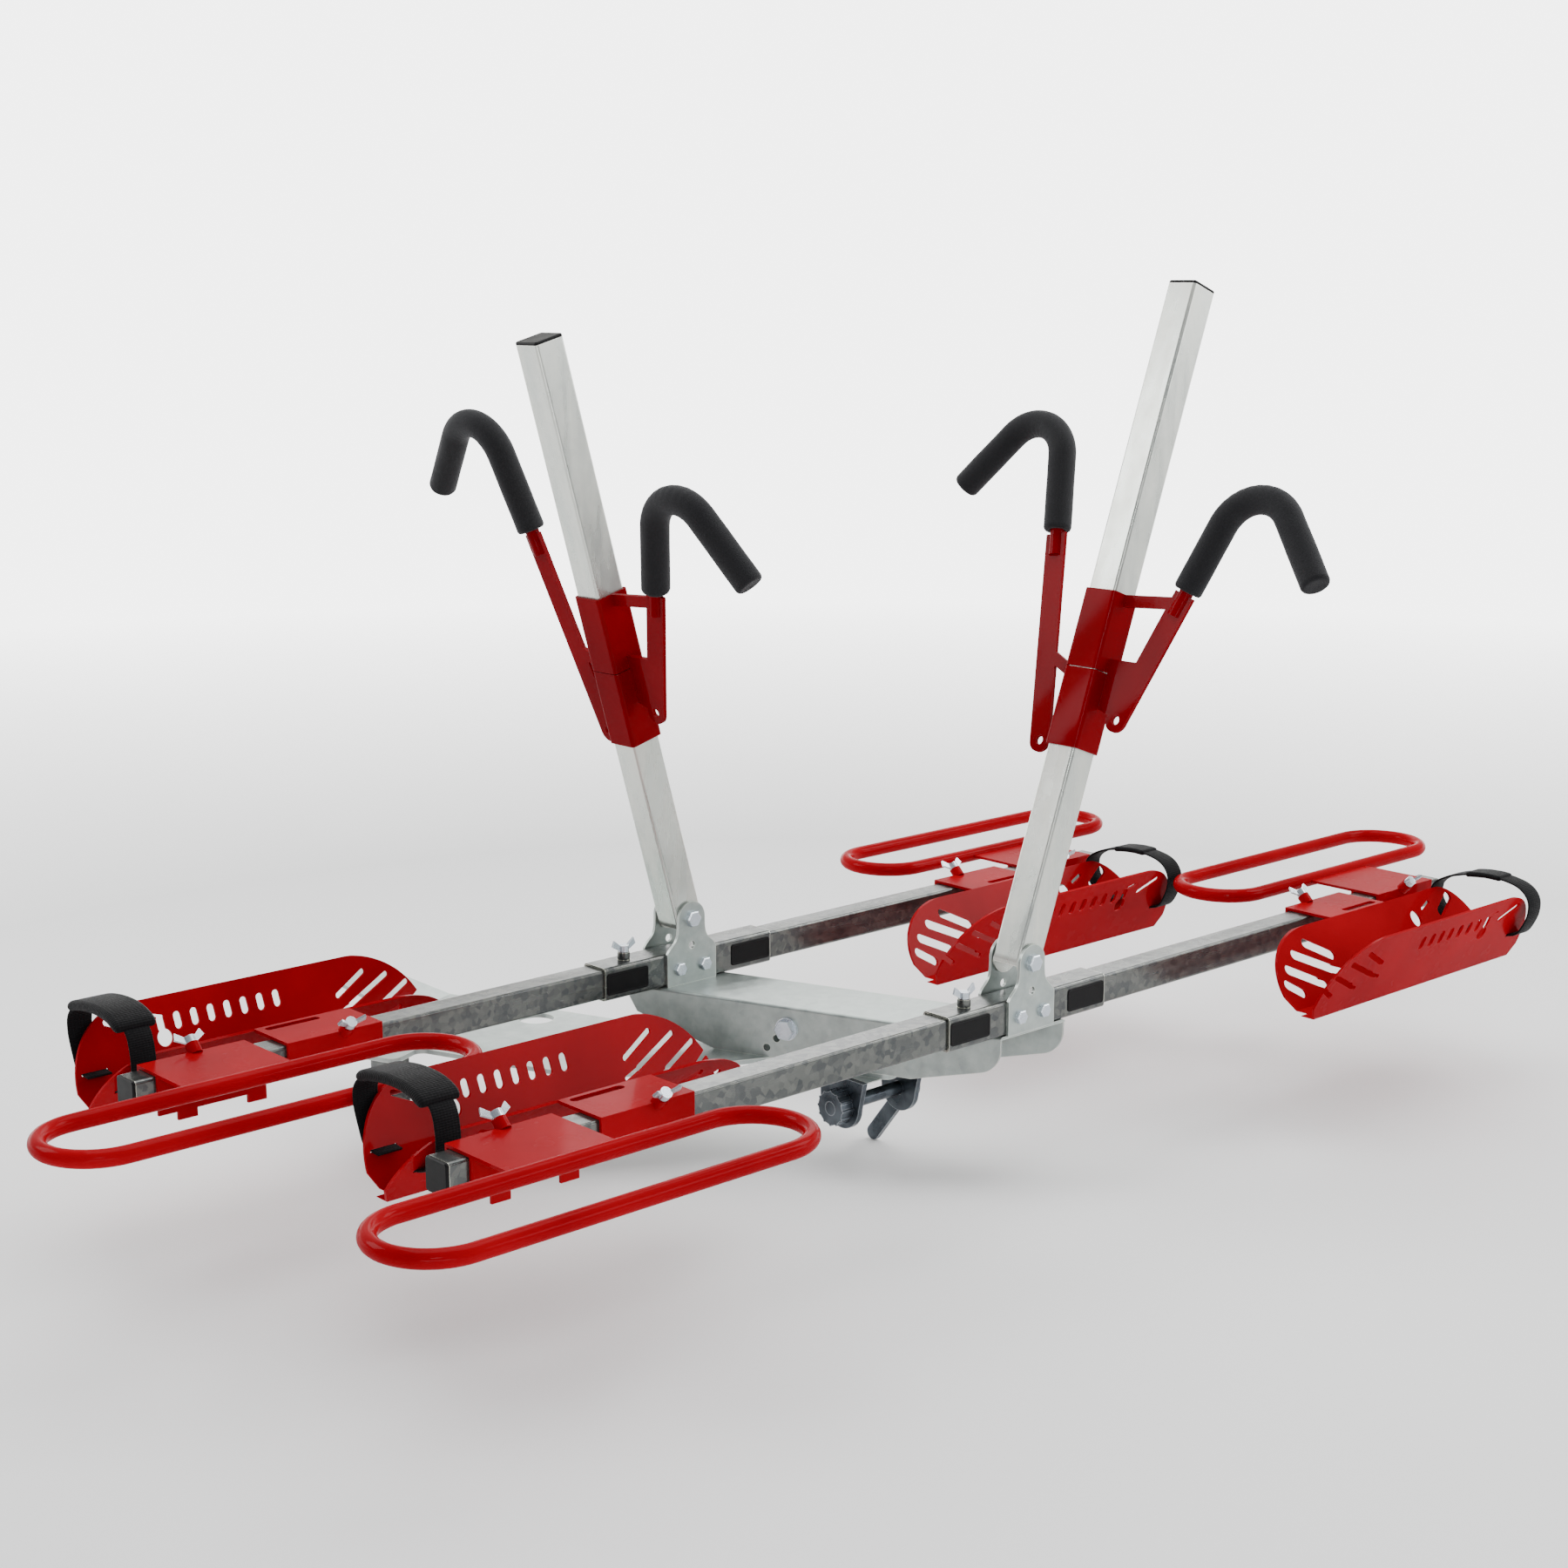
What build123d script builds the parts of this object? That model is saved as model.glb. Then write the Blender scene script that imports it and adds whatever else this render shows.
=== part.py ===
"""Hitch bike rack for four bikes: a diagonal base frame on a hitch tongue, two square rails
with a V tray and a rod loop at each end, and two masts with padded hooks.

Millimetres. The origin is the middle of the flat underside of the tongue plate, between the
cheeks of the hitch clamp. +X runs along the rails, +Y towards the vehicle, +Z up.
"""

import os
from math import atan2, cos, degrees, radians, sin, sqrt

from build123d import *

os.makedirs("parts", exist_ok=True)

# Square tube shared by rails, masts and leg
TUBE = 30.0
TUBE_WALL = 2.0
TUBE_CORNER = 3.0
SLIDE_FIT = 0.5

# Rails and their sleeves
RAIL_SPACING = 353.0
SLEEVE_STAGGER = 137.0
SLEEVE_LENGTH = 226.0
SLEEVE_WALL = 2.0
RAIL_REACH = {
    "front_left": 574.0,
    "front_right": 608.0,
    "back_left": 524.0,
    "back_right": 547.0,
}
RAIL_BUTT_GAP = 4.0
RAIL_OVER_CENTRE = 30.0
CAP_LIP = 3.0
CAP_PLUG = 18.0
CAP_FIT = 0.4

# Base frame sheet
SHEET = 3.0
SPINE_WIDTH = 88.0
SPINE_DEPTH = 56.0
SPINE_END_DEPTH = 34.0
SPINE_TAPER_FRONT = 95.0
SPINE_TAPER_BACK = 100.0
EAR_RADIUS = 26.0

# Tongue plate, clamp and leg
TONGUE = 6.0
SEAT_PAD = 1.0
TONGUE_WIDE = 178.0
TONGUE_RISE = 24.0
TONGUE_TIP = 110.0
TONGUE_TIP_WIDTH = 72.0
BALL_HOLE = 38.0
CLAMP_GAP = 74.0
CLAMP_CHEEK = 6.0
CLAMP_DROP = 52.0
CLAMP_TOP_WIDTH = 62.0
CLAMP_RADIUS = 24.0
CLAMP_ROD = 14.0
LEG_LENGTH = 72.0
FOOT_HEIGHT = 8.0

# Mast brackets and masts
CHEEK = 3.0
CHEEK_BASE = 66.0
LUG_WIDTH = 36.0
PIVOT_RISE = 34.0
BRACKET_BOLTS = 34.0
M8 = 8.0
M10 = 10.0
M12 = 12.0
BOLT_FIT = 0.4
PIN_FIT = 0.08
MAST = 34.0
MAST_LENGTH = {"front": 690.0, "back": 622.0}
MAST_LEAN = {"front": 20.3, "back": -15.7}

# Hook carriers, measured along the mast from its pivot and out from its axis
CARRIER_WALL = 2.0
CARRIER_FIT = 0.5
CARRIER_LENGTH = 79.0
LOWER_START = {"front": 213.0, "back": 203.0}
CARRIER_GAP = 1.0
ARM_SHEET = 4.0
ARM_WIDTH = 24.0
ARM_HOLE = 9.0
HOOK_ROD = 14.0
FOAM = 29.0
FOAM_END = 7.0
HOOK_RADIUS = 42.0

# Wheel loops and trays
WHEEL_OFFSET = 108.0
LOOP_OFFSET = 131.0
LOOP_ROD = 12.0
LOOP_LENGTH = 410.0
LOOP_WIDTH = 100.0
LOOP_INSET = 66.0
SADDLE = 3.0
SADDLE_FIT = 0.5
LOOP_SADDLE_LENGTH = 108.0
LOOP_SADDLE_INSET = 22.0
LOOP_FLANGE = 39.0
TAB_DROP = 8.0
TAB_WIDTH = 19.0
TRAY_SADDLE_LENGTH = 102.0
TRAY_SADDLE_INSET = 154.0
TRAY_FLANGE = 24.0
TRAY_SHEET = 2.5
TRAY_LENGTH = 387.0
TRAY_INSET = 17.0
TRAY_FLOOR = 26.0
TRAY_DROP = 35.0
INNER_WALL_REACH = 53.0
OUTER_WALL_REACH = 36.0
OUTER_WALL_RISE = 14.0
STRAP_WIDTH = 25.0
STRAP_THICK = 2.4

# Wing screws
WING_SHANK = 6.0
WING_BOSS = 13.0
WING_BOSS_HEIGHT = 8.0
WING_SPAN = 30.0
WING_RISE = 9.0

# Sizes that follow from the ones above
SLEEVE = TUBE + 2 * (SLIDE_FIT + SLEEVE_WALL)
SPINE_TOP = TONGUE + SPINE_DEPTH
RAIL_Z = SPINE_TOP + (SLEEVE - TUBE) / 2
RAIL_MID = RAIL_Z + TUBE / 2
SLEEVE_TOP = SPINE_TOP + SLEEVE
PIVOT_Z = SLEEVE_TOP + PIVOT_RISE
FRAME_Y = 45.0
ROW_Y = {"front": FRAME_Y - RAIL_SPACING / 2, "back": FRAME_Y + RAIL_SPACING / 2}
ROW_X = {"front": SLEEVE_STAGGER / 2, "back": -SLEEVE_STAGGER / 2}
SPINE_ANGLE = degrees(atan2(SLEEVE_STAGGER, RAIL_SPACING))
SPINE_HALF = SPINE_WIDTH / 2
CORNERS = [("front", "left"), ("front", "right"), ("back", "left"), ("back", "right")]
SIDE = {"left": -1, "right": 1}

# The spine frame: u runs back along the spine, v across it to the right
SPINE = Plane(
    origin=(0, FRAME_Y, SPINE_TOP),
    x_dir=(cos(radians(SPINE_ANGLE)), sin(radians(SPINE_ANGLE)), 0),
    z_dir=(0, 0, 1),
)


def spine_side(v):
    """Upright plane along the spine at v across it: x runs back along the spine, y runs up."""
    return Plane(
        origin=SPINE.from_local_coords((v, 0, 0)),
        x_dir=SPINE.y_dir,
        z_dir=SPINE.x_dir,
    )


def unit_plane(row, side):
    """Plane at a rail's outer end: x runs outwards, y towards the loop, z up from its underside."""
    s = SIDE[side]
    end_x = ROW_X[row] + s * (SLEEVE_LENGTH / 2 + RAIL_REACH[row + "_" + side])
    return Plane(origin=(end_x, ROW_Y[row], RAIL_Z), x_dir=(s, 0, 0), z_dir=(0, 0, 1))


def upright_along(unit, y):
    """Upright plane along a rail at y: x runs outwards, y up. It faces away from the loop."""
    return Plane(
        origin=unit.from_local_coords((0, y, 0)),
        x_dir=unit.x_dir,
        z_dir=-unit.y_dir,
    )


def upright_across(unit, x):
    """Upright plane across a rail at x: x runs towards the loop, y up. It faces outwards."""
    return Plane(
        origin=unit.from_local_coords((x, 0, 0)),
        x_dir=unit.y_dir,
        z_dir=unit.x_dir,
    )


def save(part, label):
    part.label = label
    export_step(part, "parts/" + label + ".step")
    return part


def square_tube(plane, length, outer, wall, corner):
    """A square tube that starts on the plane and runs along its normal."""
    with BuildPart() as tube:
        with BuildSketch(plane):
            RectangleRounded(outer, outer, corner)
            inner = outer - 2 * wall
            RectangleRounded(inner, inner, max(corner - wall, wall / 4), mode=Mode.SUBTRACT)
        extrude(amount=length)
    return tube.part


def bolt(plane, shank, length, head_height, nut_height):
    """A hexagon bolt: head above the plane, shank below it, washerless nut at the far end."""
    with BuildPart() as screw:
        with BuildSketch(plane):
            RegularPolygon(shank * 0.9, 6)
        extrude(amount=head_height)
        chamfer(screw.faces().sort_by(Axis(plane.origin, plane.z_dir))[-1].edges(), head_height * 0.15)
        with BuildSketch(plane):
            Circle(shank / 2)
        extrude(amount=-(length + nut_height * 1.3))
        with BuildSketch(plane.offset(-length)):
            RegularPolygon(shank * 0.9, 6)
        extrude(amount=-nut_height)
    return screw.part


# The spine: a folded channel, open below, whose ends are cut in line with the sleeves
SPINE_CUT = RAIL_SPACING / 2 + SLEEVE / 2


def spine_end(v, end):
    """How far along the spine its end lies at v across it; end is 1 at the back, -1 in front."""
    slant = radians(SPINE_ANGLE)
    return (end * SPINE_CUT - v * sin(slant)) / cos(slant)


# Frame bolt positions on the side plates: along the spine, and down from its top
FRAME_BOLTS = [(41.0, -23.0), (53.0, -35.0), (64.0, -46.0)]
BOLT_WASHER = 2.5
SPINE_NOSE = 13.0
SPINE_HEEL = 28.0
FOLD_RADIUS = 3.0
HEEL_BACK = 9.0


def make_spine():
    h = SPINE_HALF
    with BuildPart() as spine:
        with BuildSketch(SPINE):
            with BuildLine():
                Polyline(
                    (-h, spine_end(-h, -1)),
                    (h, spine_end(h, -1)),
                    (h, spine_end(h, 1)),
                    (-h, spine_end(-h, 1)),
                    close=True,
                )
            make_face()
        extrude(amount=-SHEET)
        for v in (-h, h - SHEET):
            front = spine_end(v, -1)
            back = spine_end(v, 1)
            with BuildSketch(spine_side(v)) as plate:
                with BuildLine():
                    Polyline(
                        (front, 0),
                        (back, 0),
                        (back, -SPINE_NOSE),
                        (back - HEEL_BACK, -SPINE_HEEL),
                        (back - SPINE_TAPER_BACK, -SPINE_DEPTH),
                        (front + SPINE_TAPER_FRONT, -SPINE_DEPTH),
                        (front, -SPINE_END_DEPTH),
                        close=True,
                    )
                make_face()
                ear = plate.vertices().sort_by(Axis.X)[:2].sort_by(Axis.Y)[0]
                fillet(ear, EAR_RADIUS)
                with Locations(FRAME_BOLTS[0]):
                    Circle((M12 + BOLT_FIT) / 2, mode=Mode.SUBTRACT)
                with Locations(*FRAME_BOLTS[1:]):
                    Circle(M8 / 2, mode=Mode.SUBTRACT)
            extrude(amount=SHEET)
        top = spine.faces().sort_by(Axis.Z)[-1]
        folds = top.edges().sort_by(SortBy.LENGTH)[-2:]
        fillet(folds, FOLD_RADIUS)
    return spine.part


# The tongue plate in spine coordinates: across the spine, then along it
HOLE_ACROSS = -36.0
HOLE_ALONG = 346.0
TONGUE_FRONT = 75.0
TONGUE_NECK = 215.0
TONGUE_BEND = 480.0
LEG_ACROSS = -198.0
LEG_ALONG = 422.0
LEG_PAD = 46.0
PLATE_CORNER = 10.0
TIP_FLARE = 18.0
SEAT_EDGE = 1.0


def make_tongue():
    """Plate with a raised tip and, under it, the pad that the hitch is clamped against."""
    h = SPINE_HALF
    tip = TONGUE_BEND + TONGUE_TIP
    pad = LEG_PAD / 2
    outline = [
        (-h, -TONGUE_FRONT),
        (h, -TONGUE_FRONT),
        (h, TONGUE_NECK - h),
        (0, TONGUE_NECK),
        (0, tip),
        (-TONGUE_TIP_WIDTH, tip),
        (-TONGUE_TIP_WIDTH - TIP_FLARE, TONGUE_BEND),
        (LEG_ACROSS + pad, LEG_ALONG + pad),
        (LEG_ACROSS - pad, LEG_ALONG + pad),
        (LEG_ACROSS - pad, LEG_ALONG - pad),
        (-TONGUE_WIDE, LEG_ALONG - pad),
        (-TONGUE_WIDE, TONGUE_NECK - h / 2),
        (-h, TONGUE_NECK - 3.5 * h),
    ]
    underside = Plane(origin=(0, FRAME_Y, 0), x_dir=SPINE.x_dir, z_dir=(0, 0, 1))
    with BuildPart() as tongue:
        with BuildSketch(underside.offset(-TONGUE)) as plan:
            with BuildLine():
                Polyline(*outline, close=True)
            make_face()
            fillet(plan.vertices(), PLATE_CORNER)
            with Locations((HOLE_ACROSS, HOLE_ALONG)):
                Circle(BALL_HOLE / 2, mode=Mode.SUBTRACT)
        extrude(amount=TONGUE_RISE + 3 * TONGUE)
        edge = Plane(
            origin=underside.from_local_coords((-TONGUE_WIDE - LEG_PAD - TONGUE_WIDE, 0, 0)),
            x_dir=SPINE.y_dir,
            z_dir=SPINE.x_dir,
        )
        with BuildSketch(edge):
            with BuildLine():
                Polyline(
                    (-TONGUE_FRONT - 1, SEAT_PAD),
                    (TONGUE_BEND, SEAT_PAD),
                    (tip + 1, TONGUE_RISE + SEAT_PAD),
                    (tip + 1, TONGUE_RISE + TONGUE),
                    (TONGUE_BEND, TONGUE),
                    (-TONGUE_FRONT - 1, TONGUE),
                    close=True,
                )
            make_face()
        extrude(amount=3 * (TONGUE_WIDE + LEG_PAD), mode=Mode.INTERSECT)
        with BuildSketch(Plane.XY):
            depth = CLAMP_TOP_WIDTH - CLAMP_CHEEK
            with Locations((0, -CLAMP_CHEEK / 2)):
                Rectangle(CLAMP_GAP - 2 * SEAT_EDGE, depth - 2 * SEAT_EDGE)
        extrude(amount=SEAT_PAD)
    return tongue.part


def make_leg():
    foot = SPINE.from_local_coords((LEG_ACROSS, LEG_ALONG, 0))
    socket = Plane(origin=(foot.X, foot.Y, SEAT_PAD), x_dir=(1, 0, 0), z_dir=(0, 0, -1))
    leg = square_tube(socket, LEG_LENGTH, TUBE, TUBE_WALL, TUBE_CORNER)
    with BuildPart() as pad:
        with BuildSketch(socket.offset(LEG_LENGTH)):
            RectangleRounded(TUBE + 2, TUBE + 2, TUBE_CORNER)
        extrude(amount=FOOT_HEIGHT)
        chamfer(pad.faces().sort_by(Axis.Z)[0].edges(), 1.5)
        with BuildSketch(socket.offset(LEG_LENGTH - CAP_PLUG)):
            plug = TUBE - 2 * TUBE_WALL - CAP_FIT
            RectangleRounded(plug, plug, 1)
        extrude(amount=CAP_PLUG)
    return leg, pad.part


# The hitch clamp below the tongue: two cheeks, a cross rod, a lever and a knob
CLAMP_ROD_Z = -CLAMP_DROP + CLAMP_RADIUS
ROD_OVERHANG = 12.0
KNOB = 34.0
KNOB_LENGTH = 16.0
KNOB_RIBS = 12
LEVER_ARM = 82.0
LEVER_ANGLE = -52.0
LEVER_THICK = 5.0


def make_clamp_cheeks():
    with BuildPart() as cheeks:
        back = Plane(origin=(0, CLAMP_TOP_WIDTH / 2, SEAT_PAD), x_dir=(1, 0, 0), z_dir=(0, -1, 0))
        with BuildSketch(back):
            Rectangle(CLAMP_GAP + 2 * CLAMP_CHEEK, CLAMP_DROP / 2, align=(Align.CENTER, Align.MAX))
        extrude(amount=CLAMP_CHEEK)
        for x in (-CLAMP_GAP / 2 - CLAMP_CHEEK, CLAMP_GAP / 2):
            wall = Plane(origin=(x, 0, 0), x_dir=(0, 1, 0), z_dir=(1, 0, 0))
            with BuildSketch(wall):
                with BuildLine():
                    Polyline(
                        (-CLAMP_RADIUS, CLAMP_ROD_Z),
                        (-CLAMP_TOP_WIDTH / 2, SEAT_PAD),
                        (CLAMP_TOP_WIDTH / 2, SEAT_PAD),
                        (CLAMP_RADIUS, CLAMP_ROD_Z),
                    )
                    ThreePointArc(
                        (CLAMP_RADIUS, CLAMP_ROD_Z),
                        (0, -CLAMP_DROP),
                        (-CLAMP_RADIUS, CLAMP_ROD_Z),
                    )
                make_face()
                with Locations((0, CLAMP_ROD_Z)):
                    Circle(CLAMP_ROD / 2 + PIN_FIT, mode=Mode.SUBTRACT)
            extrude(amount=CLAMP_CHEEK)
    return cheeks.part


def make_clamp_rod():
    """Cross rod with the lever's hub and arm fixed on its right end."""
    left = -CLAMP_GAP / 2 - CLAMP_CHEEK - KNOB_LENGTH
    right = CLAMP_GAP / 2 + CLAMP_CHEEK + SLIDE_FIT
    rod_end = Plane(origin=(left, 0, CLAMP_ROD_Z), x_dir=(0, 1, 0), z_dir=(1, 0, 0))
    hub = Plane(origin=(right, 0, CLAMP_ROD_Z), x_dir=(0, 1, 0), z_dir=(1, 0, 0))
    with BuildPart() as rod:
        with BuildSketch(rod_end):
            Circle(CLAMP_ROD / 2)
        extrude(amount=right - left + ROD_OVERHANG)
        with BuildSketch(hub):
            Circle(CLAMP_ROD)
        extrude(amount=ROD_OVERHANG)
        with BuildSketch(hub.offset(ROD_OVERHANG - LEVER_THICK)):
            reach = (LEVER_ARM * cos(radians(LEVER_ANGLE)), LEVER_ARM * sin(radians(LEVER_ANGLE)))
            SlotCenterPoint((reach[0] / 2, reach[1] / 2), reach, CLAMP_ROD + 2)
        extrude(amount=LEVER_THICK)
    return rod.part


def make_clamp_knob():
    """Ribbed nut on the rod's left end."""
    face = Plane(
        origin=(-CLAMP_GAP / 2 - CLAMP_CHEEK - SLIDE_FIT, 0, CLAMP_ROD_Z),
        x_dir=(0, 1, 0),
        z_dir=(-1, 0, 0),
    )
    with BuildPart() as knob:
        with BuildSketch(face):
            Circle(KNOB / 2)
            with PolarLocations(KNOB / 2, KNOB_RIBS):
                Circle(1.6)
            Circle(CLAMP_ROD / 2 + PIN_FIT, mode=Mode.SUBTRACT)
        extrude(amount=KNOB_LENGTH - SLIDE_FIT)
    return knob.part


def make_frame_bolt():
    """Through bolt with a washer at each end, across the spine's side plates."""
    along, down = FRAME_BOLTS[0]
    face = Plane(
        origin=SPINE.from_local_coords((-SPINE_HALF - BOLT_WASHER, along, down)),
        x_dir=SPINE.y_dir,
        z_dir=-SPINE.x_dir,
    )
    span = SPINE_WIDTH + 2 * BOLT_WASHER
    with BuildPart() as screw:
        add(bolt(face, M12, span, M12 * 0.6, M12 * 0.8))
        for depth in (0, BOLT_WASHER - span):
            with BuildSketch(face.offset(depth)):
                Circle(M12)
            extrude(amount=-BOLT_WASHER)
    return screw.part


# Sleeves and the mast brackets bolted across them
BRACKET_BOLT_Z = RAIL_Z + 15
LOCK_HOLE_Z = RAIL_Z + 38
SHOULDER_Z = SLEEVE_TOP + 4
SLEEVE_SCREW_INSET = 38.0


def bracket_bolt_points(row):
    return [ROW_X[row] - BRACKET_BOLTS / 2, ROW_X[row] + BRACKET_BOLTS / 2]


def cross_drills(row):
    """Cylinders along Y where the bracket bolts pass."""
    face = Plane(origin=(0, ROW_Y[row] - SLEEVE, 0), x_dir=(1, 0, 0), z_dir=(0, -1, 0))
    with BuildPart() as drills:
        with BuildSketch(face):
            with Locations(*[(x, BRACKET_BOLT_Z) for x in bracket_bolt_points(row)]):
                Circle((M8 + BOLT_FIT) / 2)
        extrude(amount=-2 * SLEEVE)
    return drills.part


def sleeve_screw_plane(row):
    """On the sleeve's top face, where its wing screw stands."""
    x = ROW_X[row] - SLEEVE_LENGTH / 2 + SLEEVE_SCREW_INSET
    return Plane(origin=(x, ROW_Y[row], SLEEVE_TOP), x_dir=(1, 0, 0), z_dir=(0, 0, 1))


def make_sleeve(row):
    start = Plane(
        origin=(ROW_X[row] - SLEEVE_LENGTH / 2, ROW_Y[row], RAIL_MID),
        x_dir=(0, 1, 0),
        z_dir=(1, 0, 0),
    )
    top = sleeve_screw_plane(row)
    drills = cross_drills(row)
    with BuildPart() as sleeve:
        add(square_tube(start, SLEEVE_LENGTH, SLEEVE, SLEEVE_WALL, TUBE_CORNER + SLEEVE_WALL / 2))
        add(drills, mode=Mode.SUBTRACT)
        with BuildSketch(top):
            Circle(WING_BOSS / 2)
        extrude(amount=WING_BOSS_HEIGHT)
        with BuildSketch(top):
            Circle(WING_SHANK / 2 + PIN_FIT)
        extrude(amount=WING_BOSS_HEIGHT, both=True, mode=Mode.SUBTRACT)
    return sleeve.part


def make_cheek(row, face_y):
    """One bracket plate: a wide foot beside the sleeve that narrows to a round lug."""
    x = ROW_X[row]
    foot = CHEEK_BASE / 2
    lug = LUG_WIDTH / 2
    upright = Plane(origin=(x, face_y + CHEEK, 0), x_dir=(1, 0, 0), z_dir=(0, -1, 0))
    with BuildPart() as cheek:
        with BuildSketch(upright):
            with BuildLine():
                Line((-foot, SPINE_TOP), (foot, SPINE_TOP))
                Line((foot, SPINE_TOP), (foot, SLEEVE_TOP))
                Spline(
                    *[(foot, SLEEVE_TOP), (lug + 4, SHOULDER_Z + 8), (lug, PIVOT_Z)],
                    tangents=[(-0.5, 1), (0, 1)],
                )
                ThreePointArc((lug, PIVOT_Z), (0, PIVOT_Z + lug), (-lug, PIVOT_Z))
                Spline(
                    *[(-lug, PIVOT_Z), (-lug - 4, SHOULDER_Z + 8), (-foot, SLEEVE_TOP)],
                    tangents=[(0, -1), (-0.5, -1)],
                )
                Line((-foot, SLEEVE_TOP), (-foot, SPINE_TOP))
            make_face()
            with Locations((0, PIVOT_Z)):
                Circle(M10 / 2 + PIN_FIT, mode=Mode.SUBTRACT)
            with Locations((0, LOCK_HOLE_Z)):
                Circle(M8 / 2, mode=Mode.SUBTRACT)
            with Locations((-BRACKET_BOLTS / 2, BRACKET_BOLT_Z), (BRACKET_BOLTS / 2, BRACKET_BOLT_Z)):
                Circle((M8 + BOLT_FIT) / 2, mode=Mode.SUBTRACT)
        extrude(amount=CHEEK)
    return cheek.part


def make_bracket_bolts():
    with BuildPart() as bolts:
        for row in ("front", "back"):
            for x in bracket_bolt_points(row):
                head = Plane(
                    origin=(x, ROW_Y[row] - SLEEVE / 2 - CHEEK, BRACKET_BOLT_Z),
                    x_dir=(1, 0, 0),
                    z_dir=(0, -1, 0),
                )
                add(bolt(head, M8, SLEEVE + 2 * CHEEK, M8 * 0.6, M8 * 0.8))
    return bolts.part


def make_pivot_bolts():
    with BuildPart() as bolts:
        for row in ("front", "back"):
            head = Plane(
                origin=(ROW_X[row], ROW_Y[row] - SLEEVE / 2 - CHEEK, PIVOT_Z),
                x_dir=(1, 0, 0),
                z_dir=(0, -1, 0),
            )
            add(bolt(head, M10, SLEEVE + 2 * CHEEK, M10 * 0.6, M10 * 0.8))
    return bolts.part


# Rails: the right half runs through the sleeve's middle, the left half meets it end to end
def rail_span(row, side):
    """Start and end of a rail half along X."""
    butt = ROW_X[row] - RAIL_OVER_CENTRE
    end = unit_plane(row, side).origin.X
    if side == "right":
        return butt, end - CAP_LIP
    return end + CAP_LIP, butt - RAIL_BUTT_GAP


def make_rail(row, side):
    start, end = rail_span(row, side)
    section = Plane(origin=(start, ROW_Y[row], RAIL_MID), x_dir=(0, 1, 0), z_dir=(1, 0, 0))
    drills = cross_drills(row)
    with BuildPart() as rail:
        add(square_tube(section, end - start, TUBE, TUBE_WALL, TUBE_CORNER))
        if side == "right":
            add(drills, mode=Mode.SUBTRACT)
    return rail.part


def end_cap(tube_end, size):
    """Plastic cap: a lip flush with the tube outside, a plug inside it. The normal points out."""
    plug_size = size - 2 * TUBE_WALL - CAP_FIT
    with BuildPart() as cap:
        with BuildSketch(tube_end):
            RectangleRounded(size, size, TUBE_CORNER)
        extrude(amount=CAP_LIP)
        chamfer(cap.faces().sort_by(Axis(tube_end.origin, tube_end.z_dir))[-1].edges(), CAP_LIP / 3)
        with BuildSketch(tube_end):
            RectangleRounded(plug_size, plug_size, 1)
        extrude(amount=-CAP_PLUG)
    return cap.part


def make_rail_cap(row, side):
    start, end = rail_span(row, side)
    s = SIDE[side]
    x = end if side == "right" else start
    return end_cap(Plane(origin=(x, ROW_Y[row], RAIL_MID), x_dir=(0, 1, 0), z_dir=(s, 0, 0)), TUBE)


# Masts: x runs along +Y, y along the mast from its pivot, and the normal faces forward
def mast_plane(row):
    lean = radians(MAST_LEAN[row])
    return Plane(
        origin=(ROW_X[row], ROW_Y[row], PIVOT_Z),
        x_dir=(0, 1, 0),
        z_dir=(cos(lean), 0, -sin(lean)),
    )


def mast_section(row, s):
    """Plane across the mast at s along it, facing up the mast."""
    mast = mast_plane(row)
    return Plane(origin=mast.from_local_coords((0, s, 0)), x_dir=mast.x_dir, z_dir=mast.y_dir)


def make_mast(row):
    """Square tube with a foot rounded about its pivot."""
    length = MAST_LENGTH[row] - CAP_LIP
    half = MAST / 2
    centre = mast_plane(row)
    side_view = Plane(origin=centre.origin, x_dir=centre.z_dir, z_dir=-centre.x_dir)
    with BuildPart() as mast:
        add(square_tube(mast_section(row, -half), length + half, MAST, TUBE_WALL, TUBE_CORNER))
        with BuildSketch(side_view):
            Circle(half)
            Rectangle(MAST, length, align=(Align.CENTER, Align.MIN))
        extrude(amount=MAST, both=True, mode=Mode.INTERSECT)
        with BuildSketch(side_view):
            Circle(M10 / 2 + PIN_FIT)
        extrude(amount=MAST, both=True, mode=Mode.SUBTRACT)
    return mast.part


def make_mast_cap(row):
    return end_cap(mast_section(row, MAST_LENGTH[row] - CAP_LIP), MAST)


# Hook carriers. Each point is (out from the mast axis, along the mast from the lower carrier)
CARRIER = MAST + 2 * (CARRIER_FIT + CARRIER_WALL)
UPPER_SHIFT = CARRIER_LENGTH + CARRIER_GAP
HOOKS = {
    "lower": {
        "out": 1,
        "start": 0.0,
        "lug": (42.0, 3.0),
        "foam": [(91.0, 217.0), (130.0, 375.0), (233.0, 254.0)],
    },
    "upper": {
        "out": -1,
        "start": UPPER_SHIFT,
        "lug": (46.0, 35.0),
        "foam": [(90.0, 169.0), (136.0, 311.0), (234.0, 188.0)],
    },
}
ARM_SHORT = 0.6
GUSSET = 14.0
STRUT = 12.0
ROD_ROOT = 26.0
LUG_CLEAR = 2.0
FOAM_FIT = 0.4


def between(a, b, t):
    return (a[0] + (b[0] - a[0]) * t, a[1] + (b[1] - a[1]) * t)


def distance(a, b):
    return sqrt((b[0] - a[0]) ** 2 + (b[1] - a[1]) ** 2)


def hook_path(hook, before, short):
    """Corner points of a hook's centre line, started early and ended short of the foam."""
    start, apex, end = hook["foam"]
    first = between(start, apex, -before / distance(start, apex))
    last = between(end, apex, short / distance(end, apex))
    return [(hook["out"] * o, s) for o, s in (first, apex, last)]


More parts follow.
